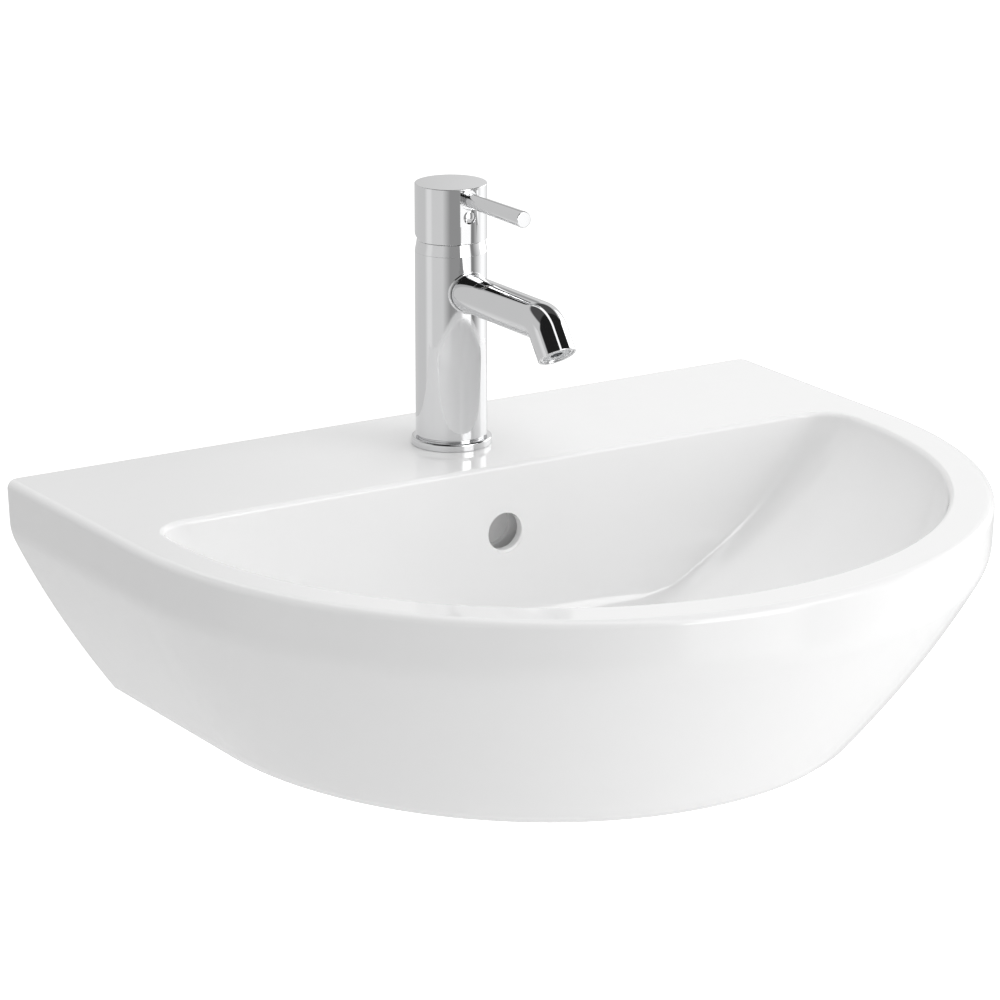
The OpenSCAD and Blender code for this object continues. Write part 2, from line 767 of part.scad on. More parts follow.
module handle_cap() {
    color(chrome) at_tap() difference() {
        union() {
            difference() {
                rotate_extrude() polygon([
                    [0, cap_foot], [cap_r, cap_foot], [cap_r, cap_top - cap_edge],
                    [cap_r - cap_edge, cap_top], [0, cap_top]]);
                translate([0, 0, cap_foot - over])
                    cylinder(r = cap_r - cap_wall_t, h = cap_h - cap_top_t + over);
            }
            translate([0, 0, hub_foot]) cylinder(r = hub_r, h = cap_top - cap_top_t / 2 - hub_foot);
            translate([-rib_w / 2, -cap_r + cap_wall_t / 2, rib_foot])
                cube([rib_w, cap_r - cap_wall_t / 2, cap_top - cap_top_t / 2 - rib_foot]);
        }
        // Socket of the spindle
        translate([-spindle_w / 2 - run_gap, -spindle_w / 2 - run_gap, hub_foot - over])
            cube([spindle_w + 2 * run_gap, spindle_w + 2 * run_gap,
                cap_top - cap_top_t - loose_gap - hub_foot]);
        // Cut under the rear, so that the cap can lean back
        translate([0, -cap_cut_front, cap_foot]) rotate([cap_cut_angle, 0, 0])
            translate([-cap_r - over, 0, -cap_r]) cube([2 * (cap_r + over), 2 * cap_r, cap_r]);
        // Lever's recess and thread
        translate([0, -cap_r + lever_recess_t, lever_z]) rotate([90, 0, 0])
            cylinder(r = lever_recess_r, h = over);
        translate([0, -cap_r + lever_recess_t + lever_shank_l, lever_z]) rotate([90, 0, 0])
            cylinder(r = lever_shank_r, h = lever_shank_l + over);
        // Index plug's seat and the grub screw's thread
        translate([0, -cap_r + index_t, index_z]) rotate([90, 0, 0])
            cylinder(r = index_r, h = index_t + over);
        translate([0, 0, index_z]) rotate([90, 0, 0]) cylinder(r = grub_r, h = cap_r);
    }
}

module lever_rod() {
    seat = cap_r - lever_recess_t;
    color(chrome) at_tap() translate([0, 0, lever_z]) rotate([90, 0, 0]) {
        rotate_extrude() polygon([
            [0, seat - lever_shank_l], [lever_shank_r, seat - lever_shank_l], [lever_shank_r, seat],
            [lever_root_d / 2, seat], [lever_end_d / 2, lever_l - lever_edge],
            [lever_end_d / 2 - lever_edge, lever_l], [0, lever_l]]);
    }
}

module grub_screw() {
    start = spindle_w / 2;
    color(steel) at_tap() translate([0, 0, index_z]) rotate([90, 0, 0])
        translate([0, 0, start]) difference() {
            cylinder(r = grub_r, h = grub_l);
            translate([0, 0, grub_l - grub_key_t])
                cylinder(r = grub_key_r, h = grub_key_t + over, $fn = 6);
        }
}

module index_plug() {
    inner = cap_r - index_t;
    crown = cap_r + run_gap;
    color(chrome) at_tap() translate([0, 0, index_z]) rotate([90, 0, 0]) intersection() {
        translate([0, 0, inner]) cylinder(r = index_r, h = index_t + over);
        translate([0, 0, crown - index_dome_r]) sphere(r = index_dome_r);
    }
}

module fixing_stud() {
    color(steel) at_tap() translate([0, stud_y, stud_in_l - stud_l]) cylinder(r = stud_r, h = stud_l);
}

// Horseshoe that clamps the tap from under the deck
module horseshoe(h) {
    difference() {
        cylinder(r = clamp_r, h = h);
        translate([-clamp_slot_w / 2, clamp_slot_y, -over]) cube([clamp_slot_w, 2 * clamp_r, h + 2 * over]);
        translate([0, stud_y, -over]) cylinder(r = stud_r + loose_gap, h = h + 2 * over);
    }
}

module clamp_gasket() {
    color(rubber) at_tap() translate([0, 0, -deck_t - clamp_gasket_t]) horseshoe(clamp_gasket_t);
}

module clamp_washer() {
    color(steel) at_tap() translate([0, 0, -deck_t - clamp_gasket_t - clamp_washer_t])
        horseshoe(clamp_washer_t);
}

module clamp_nut() {
    color(brass) at_tap() translate([0, stud_y, -deck_t - clamp_gasket_t - clamp_washer_t - clamp_nut_h])
        difference() {
            hexagon(clamp_nut_af, clamp_nut_h);
            translate([0, 0, -over]) cylinder(r = stud_r, h = clamp_nut_h + 2 * over);
        }
}

module waste_body() {
    color(chrome) at_waste() difference() {
        union() {
            translate([0, 0, flange_z]) cylinder(r = flange_r, h = flange_t);
            translate([0, 0, flange_z - tail_l]) cylinder(r = tail_r, h = tail_l + flange_t / 2);
        }
        difference() {
            translate([0, 0, flange_z - tail_l - over])
                cylinder(r = tail_bore_r, h = tail_l + flange_t + 2 * over);
            // Spider that carries the push mechanism
            translate([0, 0, spider_z]) cylinder(r = spider_hub_r, h = spider_t);
            for (a = [0, 60, 120]) rotate([0, 0, a])
                translate([-tail_r, -spider_w / 2, spider_z]) cube([2 * tail_r, spider_w, spider_t]);
        }
        translate([0, 0, spider_z - over]) cylinder(r = click_r, h = spider_t + 2 * over);
        // Run-out of the thread, just below the nut
        translate([0, 0, nut_foot_z - 2 * relief_w]) tube(tail_r + over, tail_r - relief_t, relief_w);
        // Slots that let the overflow in
        for (i = [0:slot_count - 1]) rotate([0, 0, 360 * i / slot_count + 90])
            translate([0, -slot_w / 2, duct_low_z - duct_floor_z - duct_t])
                cube([tail_r + over, slot_w, duct_t]);
    }
}

module waste_top_seal() {
    color(rubber) at_waste() translate([0, 0, -recess_t])
        tube(flange_r - recess_gap, waste_hole_d / 2 + recess_gap, top_seal_t);
}

module waste_bottom_seal() {
    color(rubber) at_waste() translate([0, 0, -boss_h - bottom_seal_t])
        tube(seal_r, tail_r + loose_gap, bottom_seal_t);
}

module waste_slip_washer() {
    color(plastic) at_waste() translate([0, 0, -boss_h - bottom_seal_t - slip_t])
        tube(seal_r, tail_r + loose_gap, slip_t);
}

module waste_nut() {
    color(brass) at_waste() translate([0, 0, nut_foot_z]) difference() {
        hexagon(waste_nut_af, waste_nut_h);
        translate([0, 0, -over]) cylinder(r = tail_r, h = waste_nut_h + 2 * over);
    }
}

module click_cartridge() {
    color(plastic) at_waste() difference() {
        union() {
            translate([0, 0, spider_z]) cylinder(r = click_r, h = click_l);
            translate([0, 0, spider_z + spider_t]) cylinder(r = spider_hub_r, h = click_floor_t / 2);
        }
        translate([0, 0, spider_z + click_floor_t])
            cylinder(r = click_bore_r, h = click_l - 2 * click_floor_t);
        translate([0, 0, spider_z + click_floor_t])
            cylinder(r = stem_r + run_gap, h = click_l);
    }
}

module click_spring() {
    color(steel) at_waste() translate([0, 0, spider_z + click_floor_t])
        tube(spring_out_r, spring_in_r, stem_foot_z - spider_z - click_floor_t);
}

module plug_stem() {
    color(steel) at_waste() {
        translate([0, 0, stem_foot_z]) cylinder(r = stem_foot_r, h = stem_foot_t);
        translate([0, 0, stem_foot_z]) cylinder(r = stem_r, h = plug_z - stem_foot_z);
    }
}

module plug_cap() {
    color(chrome) at_waste() {
        translate([0, 0, plug_z]) intersection() {
            cylinder(r = plug_r, h = plug_t);
            translate([0, 0, plug_t - plug_dome_r]) sphere(r = plug_dome_r, $fn = 2 * $fn);
        }
        translate([0, 0, plug_z - plug_skirt_t])
            tube(plug_seat_r - 2 * plug_seal_r - loose_gap, stem_r + plug_skirt_t, plug_skirt_t + run_gap);
    }
}

module plug_seal() {
    color(rubber) at_waste() translate([0, 0, plug_z - plug_seal_r - run_gap]) rotate_extrude()
        translate([plug_seat_r - plug_seal_r - loose_gap / 2, 0]) circle(r = plug_seal_r);
}

basin();
tap_body();
base_ring();
base_seal();
trim_ring();
spout();
spout_collar();
spout_oring();
aerator_housing();
aerator_insert();
aerator_washer();
cartridge_housing();
cartridge_seal();
cartridge_nut();
fixed_disc();
moving_disc();
carriage();
lever_pin();
spindle();
handle_cap();
lever_rod();
grub_screw();
index_plug();
fixing_stud();
clamp_gasket();
clamp_washer();
clamp_nut();
waste_body();
waste_top_seal();
waste_bottom_seal();
waste_slip_washer();
waste_nut();
click_cartridge();
click_spring();
plug_stem();
plug_cap();
plug_seal();
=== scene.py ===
"""Looks of the wall-hung washbasin with its mixer tap and waste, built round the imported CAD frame.

Shapes are worked out in millimetres and turned into metres when a mesh is made. +X is to the right,
+Y towards the wall, +Z up, and the origin is on the wall face midway between the two bolt holes.
"""

import math

import bmesh
import bpy
from mathutils import Matrix, Vector


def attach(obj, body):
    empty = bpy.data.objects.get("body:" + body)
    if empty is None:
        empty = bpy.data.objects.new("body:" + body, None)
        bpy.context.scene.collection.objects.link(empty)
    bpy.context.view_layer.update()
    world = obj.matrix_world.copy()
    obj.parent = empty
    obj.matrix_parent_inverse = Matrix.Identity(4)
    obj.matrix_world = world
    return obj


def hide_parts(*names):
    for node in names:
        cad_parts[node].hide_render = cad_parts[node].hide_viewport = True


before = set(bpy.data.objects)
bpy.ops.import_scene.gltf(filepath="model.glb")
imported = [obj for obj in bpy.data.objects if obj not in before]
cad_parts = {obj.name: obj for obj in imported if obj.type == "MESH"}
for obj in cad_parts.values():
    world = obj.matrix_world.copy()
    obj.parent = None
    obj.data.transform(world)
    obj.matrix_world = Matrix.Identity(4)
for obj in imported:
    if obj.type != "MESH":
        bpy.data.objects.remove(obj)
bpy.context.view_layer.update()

MM = 0.001
TURN = 2 * math.pi

# Camera

CAMERA_AT = (-1.47971, -2.49839, 0.87474)
CAMERA_RIGHT = (0.84816655, -0.52972959, -0.00024589)
CAMERA_UP = (0.15080728, 0.24101721, 0.95873243)
CAMERA_AHEAD = (0.50780967, 0.81320186, -0.28430982)
LENS_MM = 169.62
SENSOR_MM = 36.0


def make_camera():
    data = bpy.data.cameras.new("camera")
    data.sensor_width = SENSOR_MM
    data.lens = LENS_MM
    data.clip_start = 0.05
    data.clip_end = 60.0
    camera = bpy.data.objects.new("camera", data)
    bpy.context.scene.collection.objects.link(camera)
    rotation = Matrix((CAMERA_RIGHT, CAMERA_UP, tuple(-c for c in CAMERA_AHEAD))).transposed()
    camera.matrix_world = Matrix.Translation(CAMERA_AT) @ rotation.to_4x4()
    bpy.context.scene.camera = camera


make_camera()

# Sizes, as in the CAD source

RIM_Z = 70.0
TAP = (0.0, -71.5, RIM_Z)
WASTE_BACK = 236.0
BOWL_DEPTH = 118.0
WASTE = (0.0, -WASTE_BACK, RIM_Z - BOWL_DEPTH)
BASIN_H = 150.0
APRON_H = 33.0
RIM_EDGE_R = 5.0
# Half width, straight run of the sides and reach to the front: at the rim, the apron's foot and the bottom
RIM_PLAN = (275.0, 164.0, 456.0)
APRON_PLAN = (273.8, 164.0, 454.8)
FOOT_PLAN = (202.0, 145.0, 371.0)
BULGE_SHARE = 0.058
CHINA_T = 11.0
BACK_T = 12.0
BOWL_HALF_W = 247.0
BOWL_RUN = 172.0
BOWL_REACH = 254.0
BOWL_CORNER_R = 25.0
BOWL_EDGE_R = 3.0
# Depth at which the bowl's wall turns into its floor
BOWL_WALL_D = 114.0
# How the bowl's rear wall runs forward: deck, draft and blend into the floor
DECK_D = 134.0
BOWL_DRAFT = 2.5
BOWL_BLEND = 20.0
BOWL_BLEND_POWER = 6
BOWL_POWER = 1.55
BOWL_FULL_SHARE = 0.915
FLOOR_R = 42.0
FLOOR_POWER = 2.4
WASTE_HOLE_R = 23.0
RECESS_R = 33.5
BOSS_R = 34.0
TAP_R = 22.5
TAP_H = 123.7
TRIM_TOP = 131.0
CAP_FOOT = 131.5
CAP_TOP = 166.4
CAP_CUT_FRONT = 3.1
CAP_CUT_ANGLE = math.radians(14)
LEVER_Z = 159.3
LEVER_L = 85.0
INDEX_Z = 148.4
SPOUT_Z = 100.7
SPOUT_RUN = 102.3
SPOUT_BEND = math.radians(54)
SPOUT_BEND_R = 13.0
SPOUT_DROP = 16.2
SPOUT_R = 12.0
OVERFLOW_DROP = 42.5
OVERFLOW_R = 12.0
BOLT_X = 140.0

# Meshes

# Distance in metres below which two points are one
SAME_POINT = 1e-7
# Angle in degrees between two faces above which their edge is sharp
EDGE_ANGLE = 38
# Share of a profile's shorter side that the rounding of one corner may take
ROUNDING_SHARE = 0.49


def finish_mesh(name, bm, smooth_angle):
    bmesh.ops.remove_doubles(bm, verts=bm.verts, dist=SAME_POINT)
    bmesh.ops.recalc_face_normals(bm, faces=bm.faces)
    mesh = bpy.data.meshes.new(name)
    bm.to_mesh(mesh)
    bm.free()
    for face in mesh.polygons:
        face.use_smooth = True
    if smooth_angle is not None:
        mesh.set_sharp_from_angle(angle=math.radians(smooth_angle))
    obj = bpy.data.objects.new(name, mesh)
    bpy.context.scene.collection.objects.link(obj)
    return obj


def skin(name, rings, loop=False, smooth_angle=EDGE_ANGLE):
    """Surface through rings of points in millimetres; loop joins the last ring to the first."""
    n = len(rings[0])
    bm = bmesh.new()
    verts = [[bm.verts.new(Vector(p) * MM) for p in ring] for ring in rings]
    for k in range(len(rings) if loop else len(rings) - 1):
        low, high = verts[k], verts[(k + 1) % len(rings)]
        for i in range(n):
            j = (i + 1) % n
            bm.faces.new((low[i], low[j], high[j], high[i]))
    return finish_mesh(name, bm, smooth_angle)


def rounded(points, closed=False, steps=5):
    """Rounds the corners of a flat profile: each point is (a, b) or (a, b, radius)."""
    out = []
    count = len(points)
    for i, p in enumerate(points):
        radius = p[2] if len(p) > 2 else 0.0
        if radius <= 0 or (not closed and i in (0, count - 1)):
            out.append((p[0], p[1]))
            continue
        here = Vector(p[:2])
        u = Vector(points[i - 1][:2]) - here
        v = Vector(points[(i + 1) % count][:2]) - here
        reach = min(u.length, v.length) * ROUNDING_SHARE
        u.normalize()
        v.normalize()
        half = u.angle(v) / 2
        length = min(radius / math.tan(half), reach)
        radius = length * math.tan(half)
        centre = here + (u + v).normalized() * (radius / math.sin(half))
        start = here + u * length - centre
        turn = -math.copysign(math.pi - 2 * half, u.x * v.y - u.y * v.x)
        for k in range(steps + 1):
            a = turn * k / steps
            out.append((
                centre.x + start.x * math.cos(a) - start.y * math.sin(a),
                centre.y + start.x * math.sin(a) + start.y * math.cos(a),
            ))
    return out


def quarter(steps):
    """Angles from nought to a quarter turn."""
    return [math.radians(90 * i / steps) for i in range(steps + 1)]


def circle(r, matrix, steps, z=0.0):
    """Ring of points about the Z axis of a frame."""
    return [
        matrix @ Vector((r * math.cos(TURN * i / steps), r * math.sin(TURN * i / steps), z))
        for i in range(steps)
    ]


def round_rings(profile, matrix, steps):
    """Rings of a turned shape: profile is a list of (radius, height)."""
    return [circle(r, matrix, steps, z) for r, z in profile]


def at(origin, direction="up"):
    """Frame in millimetres whose +Z runs up, or out of the wall, from an origin."""
    move = Matrix.Translation(origin)
    if direction == "front":
        return move @ Matrix.Rotation(math.radians(90), 4, "X")
    return move


def lathe(name, profile, matrix, steps, loop=True, smooth_angle=EDGE_ANGLE):
    """Turned piece; loop closes its profile on itself."""
    return skin(name, round_rings(profile, matrix, steps), loop=loop, smooth_angle=smooth_angle)


def solid_box(name, low, high, edge=0.0):
    """Box between two corners, its edges rounded where edge is more than nought."""
    bm = bmesh.new()
    bmesh.ops.create_cube(bm, size=1.0)
    for v in bm.verts:
        v.co = Vector([(low[i] if v.co[i] < 0 else high[i]) * MM for i in range(3)])
    if edge > 0:
        bmesh.ops.bevel(bm, geom=list(bm.edges), offset=edge * MM, segments=3, affect="EDGES", profile=0.5)
    return finish_mesh(name, bm, None)


def apply_modifiers(obj):
    graph = bpy.context.evaluated_depsgraph_get()
    mesh = bpy.data.meshes.new_from_object(obj.evaluated_get(graph))
    obj.modifiers.clear()
    old = obj.data
    obj.data = mesh
    bpy.data.meshes.remove(old)


def combine(obj, tool, operation):
    """Boolean of two meshes; the tool is used up."""
    mod = obj.modifiers.new("combine", "BOOLEAN")
    mod.operation = operation
    mod.solver = "EXACT"
    mod.object = tool
    apply_modifiers(obj)
    bpy.data.objects.remove(tool)


def shade(obj, angle):
    """Smooth shading with sharp edges above an angle, and flat faces that look flat."""
    for face in obj.data.polygons:
        face.use_smooth = True
    obj.data.set_sharp_from_angle(angle=math.radians(angle))
    mod = obj.modifiers.new("flat faces", "WEIGHTED_NORMAL")
    mod.mode = "FACE_AREA"
    mod.weight = 100
    mod.keep_sharp = True


# Materials


class Nodes:
    """Small helper round one node tree."""

    def __init__(self, tree):
        self.tree = tree
        tree.nodes.clear()

    def new(self, kind, **values):
        node = self.tree.nodes.new(kind)
        for name, value in values.items():
            setattr(node, name, value)
        return node

    def link(self, out, inp):
        self.tree.links.new(out, inp)

    def feed(self, inp, value):
        """Gives an input a number or a colour, or links it to the output that drives it."""
        if isinstance(value, float):
            inp.default_value = value
        elif isinstance(value, tuple):
            inp.default_value = (*value, 1)
        else:
            self.link(value, inp)

    def noise(self, scale, detail, stretch=None):
        coord = self.new("ShaderNodeTexCoord")
        source = coord.outputs["Object"]
        if stretch:
            mapping = self.new("ShaderNodeMapping")
            mapping.inputs["Scale"].default_value = stretch
            self.link(source, mapping.inputs["Vector"])
            source = mapping.outputs["Vector"]
        noise = self.new("ShaderNodeTexNoise")
        noise.inputs["Scale"].default_value = scale
        noise.inputs["Detail"].default_value = detail
        self.link(source, noise.inputs["Vector"])
        return noise.outputs["Fac"]

    def spread(self, source, low, high, start=0.3, end=0.7):
        node = self.new("ShaderNodeMapRange")
        node.inputs["From Min"].default_value = start
        node.inputs["From Max"].default_value = end
        node.inputs["To Min"].default_value = low
        node.inputs["To Max"].default_value = high
        self.link(source, node.inputs["Value"])
        return node.outputs["Result"]

    def mix_colour(self, factor, a, b):
        return self.mixed("RGBA", factor, a, b)

    def layer(self, under, over, share):
        """Mix of two greys."""
        return self.mixed("FLOAT", share, under, over)

    def mixed(self, kind, factor, a, b):
        node = self.new("ShaderNodeMix", data_type=kind)
        for name, value in (("A", a), ("B", b), ("Factor", factor)):
            self.feed(node.inputs[name], value)
        return node.outputs["Result"]

    def compute(self, operation, a, b):
        node = self.new("ShaderNodeMath", operation=operation)
        self.feed(node.inputs[0], a)
        self.feed(node.inputs[1], b)
        return node.outputs[0]

    def window(self, source, low, high, soft):
        """One between two values of the source, nought outside them."""
        rise = self.spread(source, 0.0, 1.0, low - soft, low + soft)
        fall = self.spread(source, 1.0, 0.0, high - soft, high + soft)
        return self.compute("MULTIPLY", rise, fall)

    def bump(self, source, strength, distance):
        node = self.new("ShaderNodeBump")
        node.inputs["Strength"].default_value = strength
        node.inputs["Distance"].default_value = distance
        self.link(source, node.inputs["Height"])
        return node.outputs["Normal"]


def material(name, colours, roughness, scale, bump, fine, metallic=0.0, stretch=None):
    """Surface whose colour, roughness and bump vary with noise in the piece's own space."""
    made = bpy.data.materials.new(name)
    made.use_nodes = True
    nodes = Nodes(made.node_tree)
    out = nodes.new("ShaderNodeOutputMaterial")
    shader = nodes.new("ShaderNodeBsdfPrincipled")
    nodes.link(shader.outputs["BSDF"], out.inputs["Surface"])
    shader.inputs["Metallic"].default_value = metallic
    pattern = nodes.noise(scale, 3.0, stretch)
    nodes.link(nodes.mix_colour(pattern, *colours), shader.inputs["Base Color"])
    nodes.link(nodes.spread(pattern, *roughness), shader.inputs["Roughness"])
    nodes.link(nodes.bump(nodes.noise(fine, 2.0, stretch), *bump), shader.inputs["Normal"])
    return made


# Where the glaze ends, in metres: short of the wall face, and over the flat bottom
BARE_WALL_Y = (-0.0012, -0.0006)
BARE_FOOT_Z = (-0.0797, -0.0788)
GLAZE_IOR = 1.52
GLAZE_ROUGHNESS = (0.02, 0.055)
BARE_ROUGHNESS = 0.72


def glazed_china():
    """White glaze, with the bare fired body on the wall face and under the flat bottom."""
    made = bpy.data.materials.new("china_glaze")
    made.use_nodes = True
    nodes = Nodes(made.node_tree)
    out = nodes.new("ShaderNodeOutputMaterial")
    shader = nodes.new("ShaderNodeBsdfPrincipled")
    nodes.link(shader.outputs["BSDF"], out.inputs["Surface"])
    shader.inputs["IOR"].default_value = GLAZE_IOR
    coord = nodes.new("ShaderNodeTexCoord")
    parts = nodes.new("ShaderNodeSeparateXYZ")
    nodes.link(coord.outputs["Object"], parts.inputs["Vector"])
    wall = nodes.spread(parts.outputs["Y"], 0.0, 1.0, *BARE_WALL_Y)
    foot = nodes.spread(parts.outputs["Z"], 1.0, 0.0, *BARE_FOOT_Z)
    bare = nodes.compute("MAXIMUM", wall, foot)
    cloud = nodes.noise(9.0, 4.0)
    grain = nodes.noise(900.0, 4.0)
    glaze = nodes.mix_colour(cloud, (0.906, 0.906, 0.907), (0.93, 0.93, 0.928))
    biscuit = nodes.mix_colour(grain, (0.80, 0.79, 0.76), (0.88, 0.87, 0.845))
    nodes.link(nodes.mix_colour(bare, glaze, biscuit), shader.inputs["Base Color"])
    smooth = nodes.spread(nodes.noise(30.0, 3.0), *GLAZE_ROUGHNESS)
    nodes.link(nodes.layer(smooth, BARE_ROUGHNESS, bare), shader.inputs["Roughness"])
    relief = nodes.layer(nodes.noise(55.0, 1.0), grain, bare)
    nodes.link(nodes.bump(relief, 0.18, 0.0002), shader.inputs["Normal"])
    return made


CHINA = glazed_china()
CHROME = material(
    "polished_chrome", ((0.72, 0.723, 0.73), (0.755, 0.757, 0.762)), (0.03, 0.06),
    scale=35.0, bump=(0.05, 0.00004), fine=140.0, metallic=1.0)
BRASS = material(
    "cut_brass", ((0.62, 0.44, 0.17), (0.76, 0.58, 0.27)), (0.22, 0.42),
    scale=220.0, bump=(0.25, 0.0001), fine=700.0, metallic=1.0, stretch=(1.0, 1.0, 5.0))
STEEL = material(
    "drawn_steel", ((0.50, 0.51, 0.52), (0.62, 0.63, 0.64)), (0.2, 0.38),
    scale=260.0, bump=(0.25, 0.00008), fine=800.0, metallic=1.0, stretch=(1.0, 1.0, 6.0))
RUBBER = material(
    "black_rubber", ((0.018, 0.018, 0.02), (0.04, 0.04, 0.043)), (0.5, 0.75),
    scale=300.0, bump=(0.35, 0.0001), fine=1500.0)
PALE = material(
    "pale_moulding", ((0.74, 0.74, 0.70), (0.82, 0.82, 0.78)), (0.3, 0.48),
    scale=160.0, bump=(0.2, 0.00006), fine=1200.0)
DARK = material(
    "dark_moulding", ((0.035, 0.038, 0.045), (0.07, 0.074, 0.085)), (0.32, 0.5),
    scale=160.0, bump=(0.2, 0.00006), fine=1200.0)
ALUMINA = material(
    "white_alumina", ((0.82, 0.81, 0.76), (0.88, 0.87, 0.83)), (0.12, 0.26),
    scale=200.0, bump=(0.12, 0.00003), fine=1500.0)

NODE_MATERIALS = {
    CHROME: ("tap_body", "base_ring", "trim_ring", "spout", "spout_collar", "aerator_housing", "handle_cap",
             "lever_rod", "index_plug", "waste_body", "plug_cap"),
    BRASS: ("cartridge_nut", "clamp_nut", "waste_nut"),
    STEEL: ("lever_pin", "spindle", "grub_screw", "fixing_stud", "clamp_washer", "click_spring", "plug_stem",
            "aerator_insert"),
    RUBBER: ("base_seal", "spout_oring", "aerator_washer", "cartridge_seal", "clamp_gasket",
             "waste_top_seal", "waste_bottom_seal", "plug_seal"),
    PALE: ("carriage", "waste_slip_washer", "click_cartridge"),
    DARK: ("cartridge_housing",),
    ALUMINA: ("fixed_disc", "moving_disc"),
    CHINA: ("basin",),
}


def dress(obj, made):
    obj.data.materials.clear()
    obj.data.materials.append(made)


for made, names in NODE_MATERIALS.items():
    for name in names:
        dress(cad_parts[name], made)


def stands_for(obj, made, body, *nodes):
    """Gives a new piece its material, its body and the CAD nodes that it replaces."""
    dress(obj, made)
    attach(obj, body)
    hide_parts(*nodes)


# Basin

# Steps along each stretch of the outlines, and of a rounded edge
REAR_STEPS = 8
CORNER_STEPS = 8
SIDE_STEPS = 6
FRONT_STEPS = 128
EDGE_STEPS = 8
# Power of the front's curve
FRONT_POWER = 2.02


def mix(a, b, share):
    return a + (b - a) * share


def mix_plans(a, b, share):
    return tuple(mix(p, q, share) for p, q in zip(a, b))


def outline(w, back, r, run, front, z):
    """D-shaped outline in the rim's frame, anticlockwise from the middle of its rear edge."""
    left = []
    for i in range(REAR_STEPS):
        left.append((-(w - r) * i / REAR_STEPS, -back))
    for i in range(CORNER_STEPS):
        a = math.radians(90 + 90 * i / CORNER_STEPS)
        left.append((-(w - r) + r * math.cos(a), -(back + r) + r * math.sin(a)))
    for i in range(SIDE_STEPS):
        left.append((-w, mix(-(back + r), -run, i / SIDE_STEPS)))
    for i in range(FRONT_STEPS // 2):
        a = math.pi * i / FRONT_STEPS
        left.append((
            -w * math.cos(a) ** (2 / FRONT_POWER),
            -run - (front - run) * math.sin(a) ** (2 / FRONT_POWER),
        ))
    right = [(-x, y) for x, y in reversed(left[1:])]
    return [(x, y, z + RIM_Z) for x, y in left + [(0.0, -front)] + right]


def body_plan(z):
    """Half width, straight run and front of the outside at a height over the rim, so mostly negative."""
    if z >= -APRON_H:
        share = (z + APRON_H) / (APRON_H - RIM_EDGE_R)
        return mix_plans(APRON_PLAN, RIM_PLAN, min(share, 1))
    s = (-APRON_H - z) / (BASIN_H - APRON_H)
    return mix_plans(APRON_PLAN, FOOT_PLAN, s - 4 * BULGE_SHARE * s * (1 - s))


def outside_ring(z, inset=0.0, back=0.0, r=3.0):
    w, run, front = body_plan(z)
    return outline(w - inset, back, r, run, front - inset, z)


def bowl_share(t):
    """Width of the bowl as a share of its width at the rim, at a share of its wall's depth."""
    return math.sqrt(1 - (BOWL_FULL_SHARE * t) ** BOWL_POWER)


def bowl_back(t):
    """Distance of the bowl's rear wall from the wall face, at a share of its wall's depth."""
    return DECK_D + BOWL_DRAFT * t + BOWL_BLEND * t ** BOWL_BLEND_POWER


def bowl_ring(t, z, grow=0.0):
    g = bowl_share(t)
    centre = mix(BOWL_RUN, WASTE_BACK, (1 - g) / (1 - bowl_share(1)))
    front = centre + BOWL_REACH * g + grow
    return outline(BOWL_HALF_W * g + grow, bowl_back(t) - grow, BOWL_CORNER_R + grow, centre, front, z)


def floor_ring(r, z):
    """Circle about the waste whose points follow those of the bowl's floor."""
    guide = outline(FLOOR_R, WASTE_BACK - FLOOR_R, FLOOR_R - 2, WASTE_BACK, WASTE_BACK + FLOOR_R, z)
    ring = []
    for x, y, height in guide:
        a = math.atan2(y + WASTE_BACK, x)
        ring.append((r * math.cos(a), -WASTE_BACK + r * math.sin(a), height))
    return ring


def blend_rings(a, b, share_xy, z):
    return [(mix(p[0], q[0], share_xy), mix(p[1], q[1], share_xy), z + RIM_Z) for p, q in zip(a, b)]


def floor_rings():
    """Waste hole, its recess and the floor of the bowl, up to the foot of the wall."""
    rings = [floor_ring(WASTE_HOLE_R, z) for z in (-144.0, -122.5, -121.8)]
    rings += [floor_ring(r, z) for r, z in (
        (WASTE_HOLE_R + 0.4, -121.5), (RECESS_R - 0.5, -121.5), (RECESS_R, -121.2), (RECESS_R, -118.6),
        (RECESS_R + 0.2, -118.15), (RECESS_R + 0.7, -BOWL_DEPTH), (FLOOR_R, -BOWL_DEPTH),
    )]
    wall_foot = bowl_ring(1.0, -BOWL_WALL_D)
    floor = floor_ring(FLOOR_R, -BOWL_DEPTH)
    steps = 9
    for i in range(1, steps):
        u = 1 - i / steps
        z = -BOWL_WALL_D - (BOWL_DEPTH - BOWL_WALL_D) * (1 - (1 - u) ** FLOOR_POWER)
        rings.append(blend_rings(wall_foot, floor, u, z))
    return rings


def bowl_rings():
    """Wall of the bowl, up to its rounded edge."""
    rings = []
    steps, crowding = 44, 0.35
    for i in range(steps):
        t = 1 - i / steps
        # The rings stand closer together towards the rim
        t = mix(t, t * t, crowding)
        if t * BOWL_WALL_D > BOWL_EDGE_R + 1:
            rings.append(bowl_ring(t, -BOWL_WALL_D * t))
    for a in quarter(EDGE_STEPS):
        z = -BOWL_EDGE_R + BOWL_EDGE_R * math.sin(a)
        rings.append(bowl_ring(-z / BOWL_WALL_D, z, BOWL_EDGE_R * (1 - math.cos(a))))
    rings.append(bowl_ring(0.0, 0.0, BOWL_EDGE_R + 0.6))
    return rings


